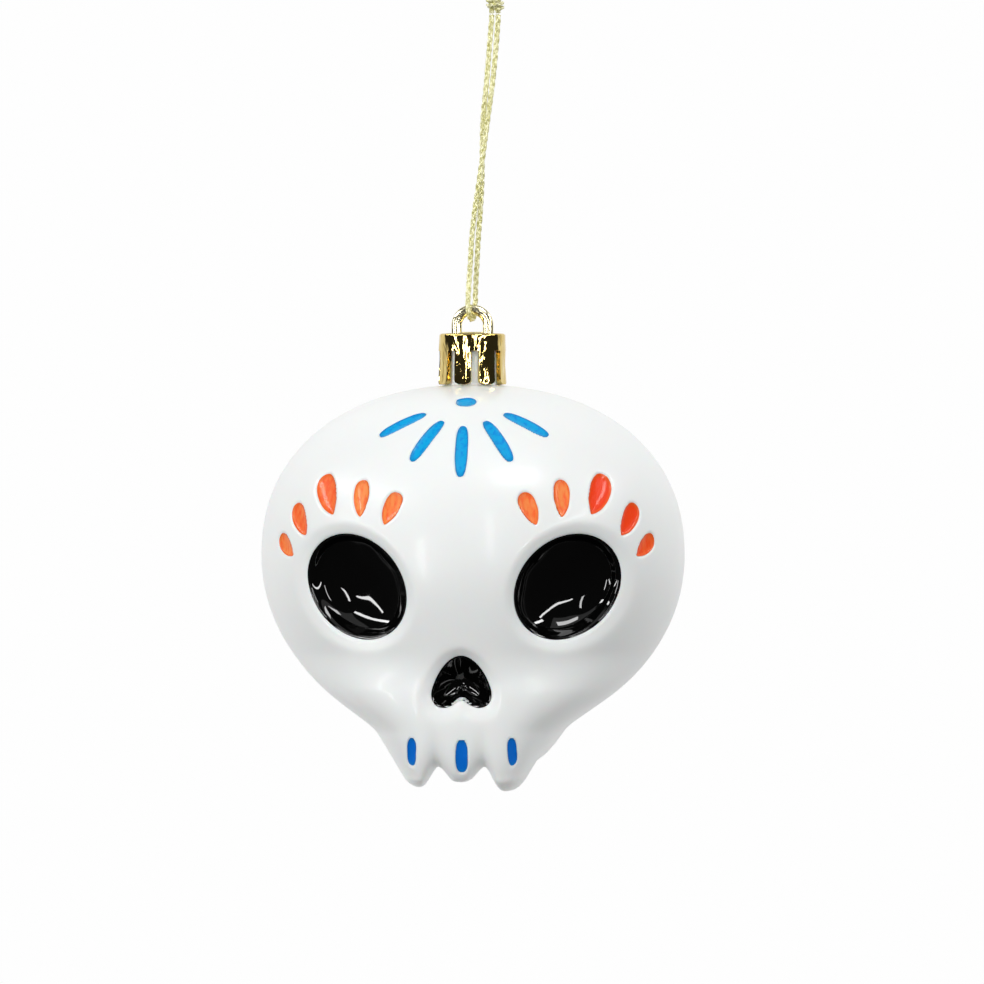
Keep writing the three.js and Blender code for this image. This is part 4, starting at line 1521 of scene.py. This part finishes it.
@dataclass
class HangingCord:
    """The plaited cord through the ring, and the knot that closes it."""

    diameter: float = 0.95
    drop: float = 57.7
    lean: float = 4.3
    plait_period: float = 5.1
    plait_reach: float = 0.3
    plait_lift: float = 0.16
    yarn_radius: float = 0.235
    yarn_sides: int = 8
    yarns: int = 3
    spacing: float = 0.16
    knot_half_width: float = 1.25
    knot_half_depth: float = 0.98
    knot_rise: float = 0.62
    knot_foot: float = 1.75
    knot_turns: float = 2.3
    strand_spread: float = 0.6
    wrap_points: int = 60
    wrap_rise: float = 1.6
    tuck_depth: float = 0.45
    tuck_length: float = 0.06
    tail_shares: tuple[tuple[int, tuple[tuple[float, float, float], ...]], ...] = (
        (1, ((0.85, -0.3, 1.6), (1.5, -0.5, 3.0))),
        (-1, ((0.8, 0.2, 1.7), (1.2, 0.6, 3.6))))
    route: tuple[tuple[float, float, float], ...] = (
        (4.9, 0, 55.65), (4.5, -0.02, 50), (3.84, -0.16, 43), (2.92, -0.4, 36),
        (2.14, -0.6, 30), (1.44, -0.6, 25), (0.58, -0.42, 19.5), (-0.07, -0.25, 14),
        (-0.36, -0.45, 9), (-0.58, -1.05, 5), (-0.68, -1.7, 2), (-0.66, -1.95, 0),
        (-0.42, -1.4, -1.36), (-0.15, 0, -1.95), (0.1, 1.4, -1.36), (0.33, 1.95, 0),
        (0.42, 1.7, 2), (0.56, 1.05, 5), (0.84, 0.45, 9), (1.12, 0.25, 14),
        (1.52, 0.42, 19.5), (1.76, 0.6, 25), (1.82, 0.6, 30), (1.98, 0.4, 36),
        (2.66, 0.16, 43), (3.24, 0.02, 50), (3.7, 0, 55.65))

    def plait(self, path: Array) -> Surface:
        """Yarns plaited about a path: each swings aside as sin(p) and to and fro as sin(2 p).

        Args:
            path: evenly spaced points of the cord's middle line.

        Returns:
            The yarns' tubes, a third of a period apart.
        """
        side = np.array([1.0, 0.0, 0.0])
        tangent = unit(np.gradient(path, axis=0))
        across = unit(side - tangent * (tangent @ side)[:, None])
        over = np.cross(tangent, across)
        steps = np.linalg.norm(np.diff(path, axis=0), axis=1)
        length = np.concatenate([[0.0], np.cumsum(steps)])
        outline = rounded(self.yarn_radius, self.yarn_radius, 2.0, self.yarn_sides)
        tubes = []
        for yarn in range(self.yarns):
            phase = 2 * math.pi * (length / self.plait_period + yarn / self.yarns)
            aside = self.plait_reach * np.sin(phase)
            lift = self.plait_lift * np.sin(2 * phase)
            yarn_path = path + across * aside[:, None] + over * lift[:, None]
            tubes.append(swept(yarn_path, outline, side))
        return Surface.joined(tubes)

    def loop_path(self) -> Array:
        """The loop's middle line, from the knot round the ring's bar and back."""
        return curve_through(np.array(self.route), self.spacing) - [self.lean, 0, self.drop]

    def knot_paths(self) -> list[Array]:
        """The knot: two strands rising into tails, and a wrap round them with its ends tucked in.

        The wrap's ends draw in by tuck_depth * exp(-(share of the wrap / tuck_length)^2).

        Returns:
            The middle lines of the two strands and of the wrap.
        """
        paths = []
        for side, tail in self.tail_shares:
            inner = [(side * self.strand_spread, 0, height)
                     for height in (-self.knot_foot, -self.knot_rise, self.knot_rise)]
            outer = [(side * x * self.knot_half_width, y * self.knot_half_depth,
                      z * self.knot_foot) for x, y, z in tail]
            paths.append(curve_through(np.array(inner + outer), self.spacing))
        turn = np.linspace(0, 2 * math.pi * self.knot_turns, self.wrap_points)
        share = turn / turn[-1]
        ends = sum(np.exp(-((from_end / self.tuck_length) ** 2)) for from_end in (share, 1 - share))
        tuck = 1 - self.tuck_depth * ends
        wrap = np.stack([self.knot_half_width * tuck * np.sin(turn),
                         -self.knot_half_depth * tuck * np.cos(turn),
                         self.knot_rise * self.wrap_rise * (2 * share - 1)], -1)
        paths.append(curve_through(wrap, self.spacing))
        return paths

    def knot_surface(self) -> Surface:
        """The knot's plaits; the wrap is plaited about the upright axis."""
        return Surface.joined([self.plait(path) for path in self.knot_paths()])

    def build(self) -> None:
        yarn = LurexYarn().material()
        path = self.loop_path()
        knot = self.knot_surface().build("knot_plait", yarn, sharp=80)
        loop = self.plait(path).build("cord_plait", yarn, sharp=80)
        dress(knot, Body.CORD, "cord_gold", "cord_knot")
        dress(loop, Body.CORD, "cord_gold", "cord_loop")


class Lights(Enum):
    """What a lamp serves: whether mirrors see it, and whether it lights matt faces."""

    ALL = (True, True)
    MATT = (False, True)
    MIRRORS = (True, False)


@dataclass(frozen=True)
class Softbox:
    """A rectangular light that looks at the ornament from an azimuth and an elevation in degrees.

    Its roll turns it in its own plane, in degrees, and its sizes are in metres.
    """

    name: str
    azimuth: float
    elevation: float
    energy: float
    width: float
    height: float
    roll: float = 0.0
    distance: float = 0.9
    lights: Lights = Lights.ALL

    def build(self, target: Array) -> None:
        """Adds the light.

        Args:
            target: the point that it looks at, in metres.
        """
        around, up = math.radians(self.azimuth), math.radians(self.elevation)
        away = np.array([math.sin(around) * math.cos(up), -math.cos(around) * math.cos(up),
                         math.sin(up)])
        data = bpy.data.lights.new(self.name, "AREA")
        data.shape = "RECTANGLE"
        data.size, data.size_y = self.width, self.height
        data.energy = self.energy
        light = placed(self.name, data)
        light.location = target + away * self.distance
        aim = Euler((math.pi / 2 - up, 0.0, around)).to_matrix()
        light.rotation_euler = (aim @ Matrix.Rotation(math.radians(self.roll), 3, "Z")).to_euler()
        light.visible_glossy, light.visible_diffuse = self.lights.value


@dataclass
class Studio:
    """The camera, the softboxes, the pale floor and the white surroundings.

    Two boxes serve everything. The large boxes only light matt faces, which gives the shell its
    soft shading, and stand as far off as they are wide. The narrow ones are only mirrored, which
    makes the glints. The surroundings' strengths are pairs, of the side in front of the ornament
    and the side behind it.
    """

    azimuth: float = 4.1
    distance: float = 1.8
    frame_width: float = 0.18566
    sensor_width: float = 36.0
    target: tuple[float, float, float] = (-0.0006, 0.0, -0.0921)
    floor_drop: float = 0.8
    floor_size: float = 4.0
    floor_colour: str = "#f4f4f4"
    surround: str = "#fefefe"
    ambient: tuple[float, float] = (0.25, 0.85)
    mirror: tuple[float, float] = (0.03, 1.0)
    turnover: tuple[float, float] = (0.2, 0.55)
    large_size: float = 1.1
    large_boxes: tuple[tuple[str, float, float, float], ...] = (
        ("key", -45, 15, 7.7), ("fill", 45, 30, 3.2), ("side", 105, 55, 3.6),
        ("low", 60, -15, 1.5), ("edge", -100, 5, 1.4))
    other_boxes: tuple[Softbox, ...] = (
        Softbox("window", 10.3, 10, 0.95, 0.065, 0.38),
        Softbox("over", 8, 62, 1.45, 1.2, 0.8),
        Softbox("left_bar", -66, 33, 3.8, 0.95, 0.07, lights=Lights.MIRRORS),
        Softbox("left_slant", -55, 3, 2.0, 0.66, 0.055, roll=-44, lights=Lights.MIRRORS),
        Softbox("left_post", -22, -3, 1.2, 0.07, 0.32, lights=Lights.MIRRORS),
        Softbox("right_bar", 31, 49, 2.4, 0.34, 0.2, lights=Lights.MIRRORS),
        Softbox("right_slant", 52, 13, 2.9, 0.95, 0.055, roll=37, lights=Lights.MIRRORS),
        Softbox("far_bar", 86, 35, 1.3, 0.32, 0.07, lights=Lights.MIRRORS))

    def camera(self) -> None:
        """Sets a level camera at the photograph's angle, whose frame spans the frame width."""
        turn = math.radians(self.azimuth)
        data = bpy.data.cameras.new("camera")
        data.sensor_width = self.sensor_width
        data.lens = data.sensor_width * self.distance / self.frame_width
        data.clip_end = 5 * self.distance
        camera = placed("camera", data)
        away = np.array([math.sin(turn), -math.cos(turn), 0.0])
        camera.location = np.array(self.target) + away * self.distance
        camera.rotation_euler = (math.pi / 2, 0.0, turn)
        bpy.context.scene.camera = camera

    def floor(self) -> None:
        """Lays a wide pale floor, which only the camera sees, under the ornament."""
        half, level = self.floor_size / 2, self.target[2] - self.floor_drop
        mesh = bpy.data.meshes.new("floor")
        corners = ((-half, -half), (half, -half), (half, half), (-half, half))
        mesh.from_pydata([(x, y, level) for x, y in corners], [], [(0, 1, 2, 3)])
        material, tree, _ = new_material("pale_floor")
        close_material(tree, {"Base Color": linear(self.floor_colour), "Roughness": 0.9})
        mesh.materials.append(material)
        floor = placed("floor", mesh)
        floor.visible_glossy = floor.visible_diffuse = False

    def surroundings(self) -> None:
        """A white room that lights and mirrors as white behind, and dim or dark in front.

        Its strengths turn over along +Y, which points behind the ornament.
        """
        world = bpy.data.worlds.new("studio")
        world.use_nodes = True
        tree = world.node_tree
        tree.nodes.clear()
        ray = add_node(tree, "LightPath").outputs
        toward = add_node(tree, "TexCoord").outputs["Generated"]
        behind = add_node(tree, "SeparateXYZ", {"Vector": toward}).outputs["Y"]
        matt, mirrored = (add_node(tree, "MapRange", {
            "Value": behind, "From Min": self.turnover[0], "From Max": self.turnover[1],
            "To Min": front, "To Max": back}, interpolation_type="SMOOTHSTEP").outputs["Result"]
            for front, back in (self.ambient, self.mirror))
        shades = (("#ffffff", matt), ("#ffffff", mirrored), (self.surround, 1.0))
        lit, shine, seen = (
            add_node(tree, "Background", {"Color": linear(colour), "Strength": strength}).outputs[0]
            for colour, strength in shades)
        room = add_node(tree, "MixShader", {"Fac": ray["Is Glossy Ray"], 1: lit, 2: shine})
        shown = add_node(tree, "MixShader", {
            "Fac": ray["Is Camera Ray"], 1: room.outputs[0], 2: seen})
        add_node(tree, "OutputWorld", {"Surface": shown.outputs[0]})
        bpy.context.scene.world = world

    def build(self) -> None:
        """Builds the studio and shows its colours as they are."""
        self.camera()
        self.floor()
        self.surroundings()
        size = self.large_size
        large = [Softbox(*box, size, size, distance=size, lights=Lights.MATT)
                 for box in self.large_boxes]
        for box in [*self.other_boxes, *large]:
            box.build(np.array(self.target))
        bpy.context.scene.view_settings.view_transform = "Standard"


def main() -> None:
    """Builds the studio and the ornament."""
    logging.basicConfig(level=logging.INFO, format="%(name)s %(message)s")
    Studio().build()
    HangingCord().build()
    CrownCap().build()
    Skull().build()


if __name__ == "__main__":
    main()
